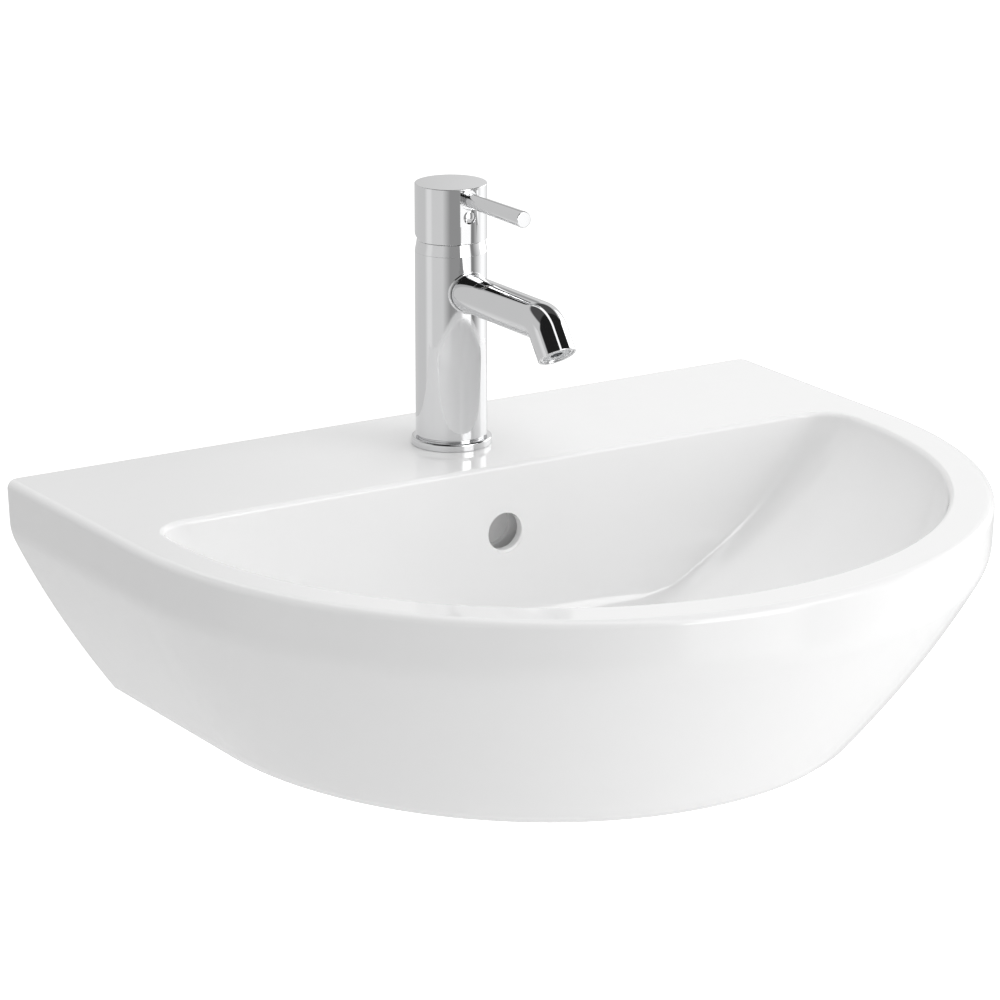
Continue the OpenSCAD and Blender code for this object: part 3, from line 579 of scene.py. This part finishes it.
def outer_rings():
    """Flat rim and its outer edge, the apron, the soft ridge under it and the lower body."""
    rings = [outside_ring(0.0, RIM_EDGE_R + 0.6, 0.6)]
    for a in quarter(EDGE_STEPS):
        rings.append(outside_ring(RIM_EDGE_R * (math.cos(a) - 1), RIM_EDGE_R * (1 - math.sin(a))))
    ridge = 7.0
    rings += [outside_ring(z) for z in (-9.0, -14.0, -20.0, -APRON_H + ridge)]
    high, middle, low = (body_plan(z) for z in (-APRON_H + ridge, -APRON_H, -APRON_H - ridge))
    for i in range(1, EDGE_STEPS + 1):
        s = i / EDGE_STEPS
        w, run, front = (
            (1 - s) ** 2 * a + 2 * s * (1 - s) * b + s * s * c for a, b, c in zip(high, middle, low)
        )
        rings.append(outline(w, 0.0, 3.0, run, front, -APRON_H + ridge - 2 * ridge * s))
    body_foot = -BASIN_H + 4.5
    steps = 16
    for i in range(1, steps + 1):
        rings.append(outside_ring(mix(-APRON_H - ridge, body_foot, i / steps)))
    w, run, front = body_plan(body_foot)
    for inset, z in ((3.6, -147.4), (4.9, -149.2), (6.6, -150.0), (10.6, -150.0), (12.2, -149.0)):
        rings.append(outline(w - inset, max(inset - 3.6, 0), 4.0, run, front - inset, z))
    return rings


def inner_rings():
    """Inside of the lower body, the deck's underside, and the bowl's down to the boss round the waste."""
    rings = [outside_ring(mix(-147.0, -APRON_H, i / 8), BACK_T + 0.1, BACK_T, 8.0) for i in range(9)]
    _, run, _ = APRON_PLAN
    for w, back, front, z in (
        (263.2, BACK_T, 444.2, -20.0), (262.8, BACK_T, 443.8, -15.2), (261.6, BACK_T + 1.2, 442.6, -14.0),
    ):
        rings.append(outline(w, back, 8.0, run, front, z))
    shell = BOWL_WALL_D + CHINA_T
    steps = 16
    for i in range(steps + 1):
        t = mix(14.0 / shell, 1.0, i / steps)
        rings.append(bowl_ring(t, -shell * t, CHINA_T))
    rings += [floor_ring(r, z) for r, z in (
        (FLOOR_R + CHINA_T, -129.0), (BOSS_R + 2, -129.2), (BOSS_R, -131.0), (BOSS_R, -142.5),
        (BOSS_R - 1.4, -144.0), (WASTE_HOLE_R + 1, -144.0),
    )]
    return rings


def overflow_cutter(depth):
    """Round hole with a softened mouth, whose axis is square to the bowl's sloping rear wall."""
    t = OVERFLOW_DROP / BOWL_WALL_D
    slope = BOWL_DRAFT + BOWL_BLEND * BOWL_BLEND_POWER * t ** (BOWL_BLEND_POWER - 1)
    tilt = math.atan(slope / BOWL_WALL_D)
    matrix = (
        Matrix.Translation((0, -bowl_back(t), RIM_Z - OVERFLOW_DROP))
        @ Matrix.Rotation(math.radians(90) + tilt, 4, "X")
    )
    mouth = 0.8
    profile = [(0.0, -depth), (OVERFLOW_R, -depth)]
    for a in quarter(EDGE_STEPS):
        profile.append((OVERFLOW_R + mouth * (1 - math.cos(a)), -mouth + mouth * math.sin(a)))
    profile += [(OVERFLOW_R + mouth + 0.8, 0.35), (OVERFLOW_R + mouth + 2.0, 4.0), (0.0, 4.0)]
    return lathe("overflow_cut", profile, matrix, steps=96, loop=False, smooth_angle=None)


def make_basin():
    rings = floor_rings() + bowl_rings() + outer_rings() + inner_rings()
    basin = skin("washbasin_china", rings, loop=True, smooth_angle=None)
    sides = (-BOLT_X, BOLT_X)
    # Casing of the overflow's duct, and the pads of the wall bolts
    for name, low, high in (
        ("casing_up", (-26, -133, RIM_Z - 142), (26, -105, RIM_Z - 11)),
        ("casing_low", (-25, -226, RIM_Z - 141.5), (25, -106.5, RIM_Z - 122)),
    ):
        combine(basin, solid_box(name, low, high, 3.0), "UNION")
    pad = rounded([(0, 5), (22, 5), (22, 20, 2.5), (0, 20)])
    for x in sides:
        combine(basin, lathe("pad", pad, at((x, 0, 0), "front"), 64, False), "UNION")
    # Duct, overflow, tap hole, bolt holes and service opening
    for name, low, high in (
        ("duct_up", (-18, -129.5, RIM_Z - 138), (18, -121, RIM_Z - 27)),
        ("duct_low", (-18, -225, RIM_Z - 138), (18, -113, RIM_Z - 128)),
    ):
        combine(basin, solid_box(name, low, high), "DIFFERENCE")
    combine(basin, overflow_cutter(17.0), "DIFFERENCE")
    tap_hole = rounded([(0, -18), (17.5, -18), (17.5, 0, 1.0), (19.5, 2), (0, 2)])
    combine(basin, lathe("tap_cut", tap_hole, at(TAP), 96, False), "DIFFERENCE")
    bolt_hole = [(0, -4), (10.4, -4), (10.4, -0.3), (8.8, 0.2), (8.1, 0.9), (8.0, 1.6), (8.0, 24), (0, 24)]
    for x in sides:
        combine(basin, lathe("bolt_cut", bolt_hole, at((x, 0, 0), "front"), 61, False), "DIFFERENCE")
    service = solid_box("service_cut", (-150, -13, RIM_Z - 160), (150, 8, RIM_Z - 105), 5.0)
    combine(basin, service, "DIFFERENCE")
    shade(basin, 42)
    stands_for(basin, CHINA, "root", "basin")


make_basin()

# Tap

LATHE_STEPS = 144
LEVER_AXIS = at((0, TAP[1], RIM_Z + LEVER_Z), "front")
INDEX_AXIS = at((0, TAP[1], RIM_Z + INDEX_Z), "front")


def make_tap_body():
    outer = [
        (14.2, 112.5), (14.2, 121.0), (16.45, 121.2), (16.45, 128.5, 0.3), (18.9, 128.5, 0.5), (18.9, TAP_H),
        (TAP_R, TAP_H, 0.12), (TAP_R, 6.5, 0.25), (21.0, 6.5), (21.0, 1.2), (16.6, 1.2), (16.6, -6.0, 0.8),
        (6.0, -6.0), (6.0, 10.8), (19.0, 10.8, 1.0), (19.0, 92.0, 2.0), (6.0, 92.0), (6.0, 112.5),
    ]
    body = lathe("mixer_body", rounded(outer, closed=True), at(TAP), LATHE_STEPS)
    socket = [(0, 0), (11.0, 0), (11.0, 26), (0, 26)]
    socket_at = at((0, TAP[1] - 13.5, RIM_Z + SPOUT_Z), "front")
    combine(body, lathe("socket_cut", socket, socket_at, 96, False), "DIFFERENCE")
    shade(body, 35)
    stands_for(body, CHROME, "root", "tap_body")


def make_rings():
    ring = [
        (21.1, 0.15), (24.1, 0.15), (24.4, 0.15), (25.3, 0.15, 0.2), (25.3, 4.9, 1.2), (21.1, 4.9, 0.3),
    ]
    piece = lathe("base_flange", rounded(ring, closed=True, steps=8), at(TAP), LATHE_STEPS)
    shade(piece, 50)
    stands_for(piece, CHROME, "root", "base_ring")
    trim = [(18.95, TAP_H), (TAP_R, TAP_H, 0.1), (21.2, TRIM_TOP, 0.25), (18.95, TRIM_TOP)]
    piece = lathe("trim_cone", rounded(trim, closed=True), at(TAP), LATHE_STEPS)
    shade(piece, 35)
    stands_for(piece, CHROME, "root", "trim_ring")


def spout_frame(distance):
    """Frame at a distance along the spout from the tap's axis, with +Z along the tube."""
    base = at((TAP[0], TAP[1], RIM_Z + SPOUT_Z), "front")
    if distance <= SPOUT_RUN:
        return base @ Matrix.Translation((0, 0, distance))
    bend = base @ Matrix.Translation((0, -SPOUT_BEND_R, SPOUT_RUN))
    turned = min((distance - SPOUT_RUN) / SPOUT_BEND_R, SPOUT_BEND)
    rest = max(distance - SPOUT_RUN - SPOUT_BEND * SPOUT_BEND_R, 0)
    return bend @ Matrix.Rotation(turned, 4, "X") @ Matrix.Translation((0, SPOUT_BEND_R, rest))


SPOUT_END = SPOUT_RUN + SPOUT_BEND * SPOUT_BEND_R + SPOUT_DROP
TUBE_STEPS = 96


def tube_ring(r, distance):
    """Ring of the spout's tube at a distance along it."""
    return circle(r, spout_frame(distance), TUBE_STEPS)


def saddle(r, surface_r):
    """Ring of a tube where it meets a round upright surface about the tap's axis."""
    ring = []
    for i in range(TUBE_STEPS):
        a = TURN * i / TUBE_STEPS
        x, z = r * math.cos(a), r * math.sin(a)
        ring.append((x, TAP[1] - math.sqrt(surface_r ** 2 - x * x), RIM_Z + SPOUT_Z + z))
    return ring


def make_spout():
    spigot_end = TAP_R - 9.0
    bore_r, spigot_r, socket_r = 8.5, 10.95, 10.5
    touch = TAP_R + 0.02
    rings = [tube_ring(bore_r, spigot_end), tube_ring(socket_r, spigot_end)]
    rings += [tube_ring(spigot_r, spigot_end + 0.5), saddle(spigot_r, touch)]
    rings += [saddle(SPOUT_R, touch), tube_ring(SPOUT_R, TAP_R + 2.5)]
    stops = [mix(TAP_R + 6, SPOUT_RUN - 4, i / 8) for i in range(9)]
    stops += [SPOUT_RUN + SPOUT_BEND * SPOUT_BEND_R * i / 20 for i in range(21)]
    stops += [mix(SPOUT_END - SPOUT_DROP + 3, SPOUT_END - 2, i / 4) for i in range(5)]
    rings += [tube_ring(SPOUT_R, stop) for stop in stops]
    lip = 0.5
    rings += [
        tube_ring(SPOUT_R - lip * (1 - math.cos(a)), SPOUT_END - lip + lip * math.sin(a)) for a in quarter(5)
    ]
    recess = SPOUT_END - 10.3
    rings += [tube_ring(socket_r + 0.3, SPOUT_END), tube_ring(socket_r, SPOUT_END - 0.3)]
    rings += [tube_ring(socket_r, recess), tube_ring(bore_r, recess)]
    rings += [tube_ring(bore_r, stop) for stop in reversed(stops) if stop < recess - 1]
    spout = skin("spout_tube", rings, loop=True, smooth_angle=None)
    shade(spout, 35)
    stands_for(spout, CHROME, "root", "spout")


def make_collar():
    inner, outer, proud, edge = SPOUT_R + 0.05, SPOUT_R + 1.4, TAP_R + 1.0, 0.35
    touch = TAP_R + 0.03
    collar = skin("spout_rosette", [
        saddle(inner, touch), saddle(outer, touch), saddle(outer, proud - edge),
        saddle(outer - edge * 0.3, proud - edge * 0.3), saddle(outer - edge, proud),
        saddle(inner + edge, proud), saddle(inner, proud - edge),
    ], loop=True)
    stands_for(collar, CHROME, "root", "spout_collar")


def make_aerator():
    mouth = spout_frame(SPOUT_END)
    rim = rounded([(8.7, -8.8), (10.45, -8.8), (10.45, -0.8, 0.3), (8.7, -0.8, 0.35)], closed=True)
    housing = lathe("outlet_ring", rim, mouth, TUBE_STEPS)
    stands_for(housing, CHROME, "root", "aerator_housing")
    plate = [(8.6, -8.7), (8.6, -1.2, 0.4), (3.8, -1.2, 0.3), (3.8, -4.4), (0.7, -4.4), (0.7, -8.7)]
    insert = lathe("outlet_screen", rounded(plate, closed=True), mouth, TUBE_STEPS - 1)
    holes, holes_r, first_turn = 6, 2.3, 0.02
    hole = [(0, -10), (0.6, -10), (0.6, -3), (0, -3)]
    for i in range(holes):
        a = TURN * i / holes + first_turn
        axis = mouth @ Matrix.Translation((holes_r * math.cos(a), holes_r * math.sin(a), 0))
        combine(insert, lathe("screen_cut", hole, axis, 16, False), "DIFFERENCE")
    shade(insert, 35)
    stands_for(insert, STEEL, "root", "aerator_insert")


def make_cap():
    skirt_r = TAP_R - 1.2
    hub_r, hub_foot, top_foot = 8.5, 141.0, CAP_TOP - 3
    profile = [
        (0, CAP_TOP), (TAP_R, CAP_TOP, 0.45), (TAP_R, CAP_FOOT, 0.25), (skirt_r, CAP_FOOT),
        (skirt_r, top_foot, 0.8), (hub_r, top_foot), (hub_r, hub_foot, 0.3), (0, hub_foot),
    ]
    cap = lathe("lever_cap", rounded(profile), at(TAP), LATHE_STEPS, False)
    y = TAP[1]
    rib = solid_box("rib", (-6.5, y - 21.9, RIM_Z + 143), (6.5, y, RIM_Z + CAP_TOP - 1.5))
    combine(cap, rib, "UNION")
    half = 2.55
    spindle = solid_box("spindle_cut", (-half, y - half, RIM_Z + 139), (half, y + half, RIM_Z + 162.1))
    combine(cap, spindle, "DIFFERENCE")
    # Cut under the rear
    cut = solid_box("rear_cut", (-25, 0, -25), (25, 50, 0))
    cut.data.transform(
        Matrix.Translation(Vector((0, y - CAP_CUT_FRONT, RIM_Z + CAP_FOOT)) * MM)
        @ Matrix.Rotation(CAP_CUT_ANGLE, 4, "X"))
    combine(cap, cut, "DIFFERENCE")
    lever_seat = [(0, 12.3), (3.0, 12.3), (3.0, 21.3), (5.95, 21.3), (6.2, 21.5), (6.25, 23.5), (0, 23.5)]
    combine(cap, lathe("lever_cut", lever_seat, LEVER_AXIS, 64, False), "DIFFERENCE")
    index_seat = [(0, 0.5), (2.5, 0.5), (2.5, 19.5), (4.3, 19.5), (4.3, 24), (0, 24)]
    combine(cap, lathe("index_cut", index_seat, INDEX_AXIS, 64, False), "DIFFERENCE")
    shade(cap, 35)
    stands_for(cap, CHROME, "handle", "handle_cap")


def make_lever():
    profile = [
        (0, 12.3), (3.0, 12.3, 0.3), (3.0, 21.3), (4.5, 21.3, 0.3), (5.1, LEVER_L, 0.6), (0, LEVER_L),
    ]
    rod = lathe("lever_pin_rod", rounded(profile, steps=7), LEVER_AXIS, 72, False)
    shade(rod, 40)
    stands_for(rod, CHROME, "handle", "lever_rod")


def make_index_plug():
    foot, face, dome_r, edge_r, side_r = 19.55, 22.55, 9, 4.2, 4.15
    profile = [(0, foot), (side_r, foot)]
    for i in range(9):
        r = edge_r * (1 - i / 8)
        profile.append((min(r, side_r), face - dome_r + math.sqrt(dome_r * dome_r - r * r)))
    plug = lathe("index_button", profile, INDEX_AXIS, 64, False)
    shade(plug, 50)
    stands_for(plug, CHROME, "handle", "index_plug")


make_tap_body()
make_rings()
make_spout()
make_collar()
make_aerator()
make_cap()
make_lever()
make_index_plug()

# Threads, nuts and the waste

# TAIL_FOOT, BOSS_FOOT and NUT_FOOT are heights over the bowl's floor, DECK_FOOT is one over the rim
TAIL_R = 20.95
TAIL_BORE_R = 18.55
TAIL_FOOT = -63.5
BOSS_FOOT = -26.0
NUT_FOOT = -40.5
DECK_FOOT = -14.0
STUD_Y = TAP[1] - 10.0
STUD_R = 4.0
PIPE_STEPS = 72


def thread_rings(r, depth, pitch, low, high, matrix, steps):
    """Rings of a helical thread that runs out over its last turn at both ends."""
    rings = []
    rings_per_turn = 8
    count = math.ceil((high - low) / pitch * rings_per_turn)
    for k in range(count + 1):
        z = mix(low, high, k / count)
        fade = min(1.0, (z - low) / pitch, (high - z) / pitch)
        ring = []
        for i in range(steps):
            turn = (z / pitch - i / steps) % 1.0
            groove = depth * fade * abs(2 * turn - 1)
            a = TURN * i / steps
            ring.append(((r - groove) * math.cos(a), (r - groove) * math.sin(a), z))
        rings.append([matrix @ Vector(p) for p in ring])
    return rings


def hexagon_nut(name, flats, height, bore_r, matrix, steps):
    """Nut whose corners are cut back by a 30 degree chamfer at both faces."""
    rings = []
    for z in (0.0, 0.15, 0.35, 0.6, 0.9, 1.25, height / 2):
        limit = flats / 2 - 0.4 + z * math.sqrt(3)
        ring = []
        for i in range(steps):
            a = TURN * i / steps
            side = (a + math.pi / 6) % (math.pi / 3) - math.pi / 6
            r = min(flats / 2 / math.cos(side), limit) if z < height / 2 else flats / 2 / math.cos(side)
            ring.append((r * math.cos(a), r * math.sin(a), z))
        rings.append(ring)
    upper = [[(x, y, height - z) for x, y, z in ring] for ring in reversed(rings[:-1])]
    bore = [(bore_r + 0.5, height), (bore_r, height - 0.5), (bore_r, 0.5), (bore_r + 0.5, 0.0)]
    placed = [[matrix @ Vector(p) for p in ring] for ring in rings + upper]
    return skin(name, placed + round_rings(bore, matrix, steps), loop=True, smooth_angle=20)


def make_waste():
    here = at(WASTE)
    outside = [
        (21.6, -2.5), (32.6, -2.5), (33.0, -2.2), (33.0, -0.9), (32.7, -0.35), (32.0, -0.05), (31.2, 0.0),
        (20.2, 0.0), (19.3, -0.15), (18.75, -0.6), (TAIL_BORE_R, -1.3),
    ]
    inside = [(TAIL_BORE_R, z) for z in (-6.0, -29.9, -30.1, -36.0, -50.0, TAIL_FOOT + 0.5)]
    foot = [(TAIL_BORE_R + 0.5, TAIL_FOOT), (TAIL_R - 1.2, TAIL_FOOT), (TAIL_R - 0.3, TAIL_FOOT + 0.9)]
    shank = [(TAIL_R, -22.0), (TAIL_R, -3.0), (21.2, -2.6)]
    rings = round_rings(shank + outside + inside + foot, here, PIPE_STEPS)
    depth, pitch = 0.75, 2.309
    rings += thread_rings(TAIL_R, depth, pitch, TAIL_FOOT + 1.0, -23.0, here, PIPE_STEPS)
    body = skin("waste_sleeve", rings, loop=True, smooth_angle=None)
    # Slots that let the overflow in, and the spider that carries the push mechanism
    slot_foot, slot_top, half = WASTE[2] - 20.0, WASTE[2] - 10.0, 8.0
    for x, y in ((half, 25), (25, half)):
        low = (WASTE[0] - x, WASTE[1] - y, slot_foot)
        high = (WASTE[0] + x, WASTE[1] + y, slot_top)
        combine(body, solid_box("slot_cut", low, high, 1.5), "DIFFERENCE")
    arm_w, arm_foot, arm_top = 4.0, -36.0, -30.0
    reach = TAIL_BORE_R + 0.8
    for i in range(3):
        arm = solid_box("arm", (-reach, -arm_w / 2, arm_foot), (reach, arm_w / 2, arm_top), 0.6)
        turn = Matrix.Rotation(math.radians(60 * i), 4, "Z")
        arm.data.transform(Matrix.Translation(Vector(WASTE) * MM) @ turn)
        combine(body, arm, "UNION")
    hub = rounded([(0, arm_foot), (10.5, arm_foot, 0.8), (10.5, arm_top, 0.8), (0, arm_top)])
    combine(body, lathe("hub", hub, here, PIPE_STEPS, False), "UNION")
    hub_bore = [(0, -38), (8.0, -38), (8.0, -28), (0, -28)]
    combine(body, lathe("hub_cut", hub_bore, here, PIPE_STEPS, False), "DIFFERENCE")
    shade(body, 35)
    stands_for(body, CHROME, "root", "waste_body")


def ring_profile(inner, outer, low, high, inner_edge, outer_edge):
    """Flat ring with rounded edges."""
    return rounded([
        (inner, low, inner_edge), (outer, low, outer_edge),
        (outer, high, outer_edge), (inner, high, inner_edge),
    ], closed=True)


def make_waste_seals():
    here = at(WASTE)
    seal_r, bore = 29.0, TAIL_R + 0.3
    top = ring_profile(23.5, 32.5, -3.5, -2.5, 0.0, 0.3)
    stands_for(lathe("flange_gasket", top, here, 96), RUBBER, "root", "waste_top_seal")
    low = BOSS_FOOT - 4.0
    gasket = ring_profile(bore, seal_r, low, BOSS_FOOT, 0.5, 0.9)
    stands_for(lathe("boss_gasket", gasket, here, 96), RUBBER, "root", "waste_bottom_seal")
    washer = ring_profile(bore, seal_r, low - 1.5, low, 0.25, 0.35)
    stands_for(lathe("slip_ring", washer, here, 96), PALE, "root", "waste_slip_washer")
    nut_at = at((WASTE[0], WASTE[1], WASTE[2] + NUT_FOOT))
    stands_for(hexagon_nut("tail_nut", 52.0, 9.0, TAIL_R, nut_at, LATHE_STEPS), BRASS, "root", "waste_nut")


def make_plug():
    here = at(WASTE)
    foot, top, dome_r, rim_r = 0.3, 4.3, 160.0, 29.0
    profile = [(7.0, foot), (7.0, foot - 2.6), (7.4, foot - 3.0), (15.7, foot - 3.0), (16.2, foot - 2.6),
               (16.25, foot), (28.1, foot), (28.8, foot + 0.3)]
    drop = dome_r - math.sqrt(dome_r ** 2 - rim_r ** 2)
    profile += [(rim_r, foot + 0.75), (28.85, top - drop - 0.2), (28.5, top - drop)]
    for i in range(1, 15):
        r = 28.2 * (1 - i / 14)
        profile.append((r, top - dome_r + math.sqrt(dome_r ** 2 - r * r)))
    cap = lathe("plug_disc", [(0, foot)] + profile, here, LATHE_STEPS, False)
    shade(cap, 35)
    stands_for(cap, CHROME, "plug", "plug_cap")


def make_clamp():
    """What holds the tap from below: threaded stud and its hexagon nut."""
    stud_at = at((0, STUD_Y, RIM_Z))
    top, foot, depth, pitch, steps = 10.0, -56.0, 0.65, 1.25, 48
    rings = round_rings([(0.0, foot), (3.1, foot), (3.5, foot + 0.4)], stud_at, steps)
    rings += thread_rings(STUD_R, depth, pitch, foot + 0.5, top - 0.5, stud_at, steps)
    rings += round_rings([(3.4, top - 0.4), (3.1, top), (0.0, top)], stud_at, steps)
    stud = skin("clamp_screw", rings, smooth_angle=35)
    stands_for(stud, STEEL, "root", "fixing_stud")
    nut_at = at((0, STUD_Y, RIM_Z + DECK_FOOT - 17.0))
    nut = hexagon_nut("clamp_hexagon", 13.0, 12.0, STUD_R, nut_at, PIPE_STEPS)
    stands_for(nut, BRASS, "root", "clamp_nut")


make_waste()
make_waste_seals()
make_plug()
make_clamp()

# Studio

FLOOR_Z = -0.78
FLOOR_SIZE = 30.0
FLOOR_GREY = 0.8
FLOOR_GLOW = 0.7


def grey_ramp(nodes, source, stops):
    """Colour ramp of greys; each stop is (position, grey)."""
    ramp = nodes.new("ShaderNodeValToRGB")
    ramp.color_ramp.interpolation = "LINEAR"
    while len(ramp.color_ramp.elements) < len(stops):
        ramp.color_ramp.elements.new(0.5)
    for element, (position, grey) in zip(ramp.color_ramp.elements, stops):
        element.position = position
        element.color = (grey, grey, grey, 1)
    nodes.link(source, ramp.inputs["Fac"])
    return ramp.outputs["Color"]


def make_floor():
    bm = bmesh.new()
    bmesh.ops.create_grid(bm, x_segments=1, y_segments=1, size=FLOOR_SIZE)
    mesh = bpy.data.meshes.new("floor")
    bm.to_mesh(mesh)
    bm.free()
    floor = bpy.data.objects.new("floor", mesh)
    floor.location = (0, 0, FLOOR_Z)
    bpy.context.scene.collection.objects.link(floor)
    made = bpy.data.materials.new("floor")
    made.use_nodes = True
    nodes = Nodes(made.node_tree)
    out = nodes.new("ShaderNodeOutputMaterial")
    diffuse = nodes.new("ShaderNodeBsdfDiffuse")
    diffuse.inputs["Color"].default_value = (FLOOR_GREY, FLOOR_GREY, FLOOR_GREY, 1)
    path = nodes.new("ShaderNodeLightPath")
    glow = nodes.new("ShaderNodeEmission")
    nodes.link(nodes.compute("MULTIPLY", path.outputs["Is Camera Ray"], FLOOR_GLOW), glow.inputs["Strength"])
    total = nodes.new("ShaderNodeAddShader")
    nodes.link(diffuse.outputs[0], total.inputs[0])
    nodes.link(glow.outputs[0], total.inputs[1])
    # Polished surfaces look through the floor at the cards of the world, and so does a view from below
    clear = nodes.new("ShaderNodeBsdfTransparent")
    side = nodes.new("ShaderNodeNewGeometry")
    through = nodes.compute("MAXIMUM", path.outputs["Is Glossy Ray"], side.outputs["Backfacing"])
    seen = nodes.new("ShaderNodeMixShader")
    nodes.link(through, seen.inputs[0])
    nodes.link(total.outputs[0], seen.inputs[1])
    nodes.link(clear.outputs[0], seen.inputs[2])
    nodes.link(seen.outputs[0], out.inputs["Surface"])
    mesh.materials.append(made)


# The world as polished surfaces meet it. A direction has a turn, anticlockwise seen from above and counted
# from the camera's side, and an X, a Y and a height Z, each as in a direction of length one.
TO_CAMERA = math.atan2(CAMERA_AT[1], CAMERA_AT[0])
# Ring of cards: from turn, to turn in degrees, grey. The grey changes evenly from one card to the next.
CARDS = (
    (-180, -92, 0.5), (-80, -68, 0.65), (-61, -27, 0.55), (-3, 29, 0.25),
    (35, 64, 0.95), (67, 75, 0.2), (112, 126, 0.95), (165, 180, 0.5),
)
# Height of the ring's top, at the front and on the wall side
RING_TOP = (0.34, 0.21)
# Heights between which the grey under the ring gives way to it
NEAR_EDGE = (-0.57, -0.35)
NEAR_GREY = 0.65
# Wall over the ring: share of the way aside from straight behind the object, to the camera's right, grey
WALL = (
    (-1, 0.5), (-0.16, 0.5), (-0.11, 0.28), (-0.05, 0.3), (-0.01, 0.46), (0.03, 0.62), (0.1, 0.62), (1, 0.5),
)
# Y between which the front gives way to the wall side
WALL_EDGE = (-0.04, 0.04)
CEILING_EDGE = (0.58, 0.66)
CEILING_GREY = 0.06
FRONT_GREY = 0.012
# Strip overhead, from front to back: its X, and the height of its foot at the front and on the wall side
STRIP_X = (-0.05, 0.13)
STRIP_FOOT = (0.35, 0.64)
STRIP_GREY = 1.0
STRIP_SOFTNESS = 0.008
# Bright cards: from turn, to turn, from height, to height, grey
BRIGHT = (
    (30, 59, -0.2, 0.16, 3.6), (36, 63.5, 0.15, 0.36, 2.0), (36, 63.5, 0.36, 0.58, 3.2),
    (60, 85, 0.36, 0.5, 3.2), (107, 150, -0.2, 0.5, 1.6),
)
# Softness of their edges, in radians of turn and in height
TURN_SOFTNESS = 0.02
HEIGHT_SOFTNESS = 0.015
# Factor on all the greys above
CARD_LEVEL = 1.4
# Grey of the world for soft light, and as the camera sees it
SOFT_LEVEL = 0.6
SEEN_LEVEL = 1.0


def studio_cards(nodes, direction):
    """Grey that polished surfaces meet in a direction: cards, a pale wall side and a dark front above."""
    turned = nodes.new("ShaderNodeVectorRotate", rotation_type="Z_AXIS")
    turned.inputs["Angle"].default_value = -TO_CAMERA
    nodes.link(direction, turned.inputs["Vector"])
    flat = nodes.new("ShaderNodeSeparateXYZ")
    nodes.link(turned.outputs["Vector"], flat.inputs["Vector"])
    turn = nodes.compute("ARCTAN2", flat.outputs["Y"], flat.outputs["X"])
    parts = nodes.new("ShaderNodeSeparateXYZ")
    nodes.link(direction, parts.inputs["Vector"])
    x, y, z = (parts.outputs[name] for name in "XYZ")
    around = nodes.spread(turn, 0.0, 1.0, -math.pi, math.pi)
    edges = [((edge + 180) / 360, grey) for start, end, grey in CARDS for edge in (start, end)]
    ring = grey_ramp(nodes, around, edges)
    near = nodes.layer(NEAR_GREY, ring, nodes.spread(z, 0.0, 1.0, *NEAR_EDGE))
    aside = nodes.spread(flat.outputs["Y"], 0.0, 1.0, -1.0, 1.0)
    wall = grey_ramp(nodes, aside, [((a + 1) / 2, grey) for a, grey in WALL])
    wall = nodes.layer(wall, CEILING_GREY, nodes.spread(z, 0.0, 1.0, *CEILING_EDGE))
    behind = nodes.spread(y, 0.0, 1.0, *WALL_EDGE)
    above = nodes.layer(FRONT_GREY, wall, behind)
    raised = nodes.compute("GREATER_THAN", z, nodes.layer(*STRIP_FOOT, behind))
    strip = nodes.compute("MULTIPLY", nodes.window(x, *STRIP_X, STRIP_SOFTNESS), raised)
    above = nodes.layer(above, STRIP_GREY, strip)
    level = nodes.layer(near, above, nodes.compute("GREATER_THAN", z, nodes.layer(*RING_TOP, behind)))
    for start, end, foot, top, grey in BRIGHT:
        across = nodes.window(turn, math.radians(start), math.radians(end), TURN_SOFTNESS)
        card = nodes.compute("MULTIPLY", across, nodes.window(z, foot, top, HEIGHT_SOFTNESS))
        level = nodes.layer(level, grey, card)
    return level


def make_world():
    world = bpy.data.worlds.new("studio")
    bpy.context.scene.world = world
    world.use_nodes = True
    nodes = Nodes(world.node_tree)
    out = nodes.new("ShaderNodeOutputWorld")
    back = nodes.new("ShaderNodeBackground")
    nodes.link(back.outputs[0], out.inputs["Surface"])
    path = nodes.new("ShaderNodeLightPath")
    coord = nodes.new("ShaderNodeTexCoord")
    cards = nodes.compute("MULTIPLY", studio_cards(nodes, coord.outputs["Generated"]), CARD_LEVEL)
    lit = nodes.layer(SOFT_LEVEL, cards, path.outputs["Is Glossy Ray"])
    seen = nodes.layer(lit, SEEN_LEVEL, path.outputs["Is Camera Ray"])
    nodes.link(seen, back.inputs["Color"])


LAMP_TARGET = (0, -0.22, 0)
# Name, position and width in metres, power in watts
LAMPS = (
    ("front_box", (2.2, -2.4, 0.9), 2.0, 32.5),
    ("overhead", (0.0, -0.4, 2.6), 1.8, 21.4),
    ("back_box", (1.2, 0.5, 0.8), 0.8, 1.9),
    ("low_left", (-0.2, -1.2, -0.65), 1.0, 2.2),
    ("low_right", (1.0, -1.3, -0.6), 0.8, 3.7),
)


def make_lamps():
    """Soft square lamps, which polished surfaces don't reflect."""
    for name, position, width, power in LAMPS:
        data = bpy.data.lights.new(name, "AREA")
        data.energy = power
        data.shape = "SQUARE"
        data.size = width
        lamp = bpy.data.objects.new(name, data)
        bpy.context.scene.collection.objects.link(lamp)
        lamp.location = position
        lamp.rotation_mode = "QUATERNION"
        lamp.rotation_quaternion = (Vector(LAMP_TARGET) - Vector(position)).to_track_quat("-Z", "Y")
        lamp.visible_glossy = False
        lamp.visible_camera = False


make_floor()
make_world()
make_lamps()

bpy.context.scene.view_settings.view_transform = "Standard"
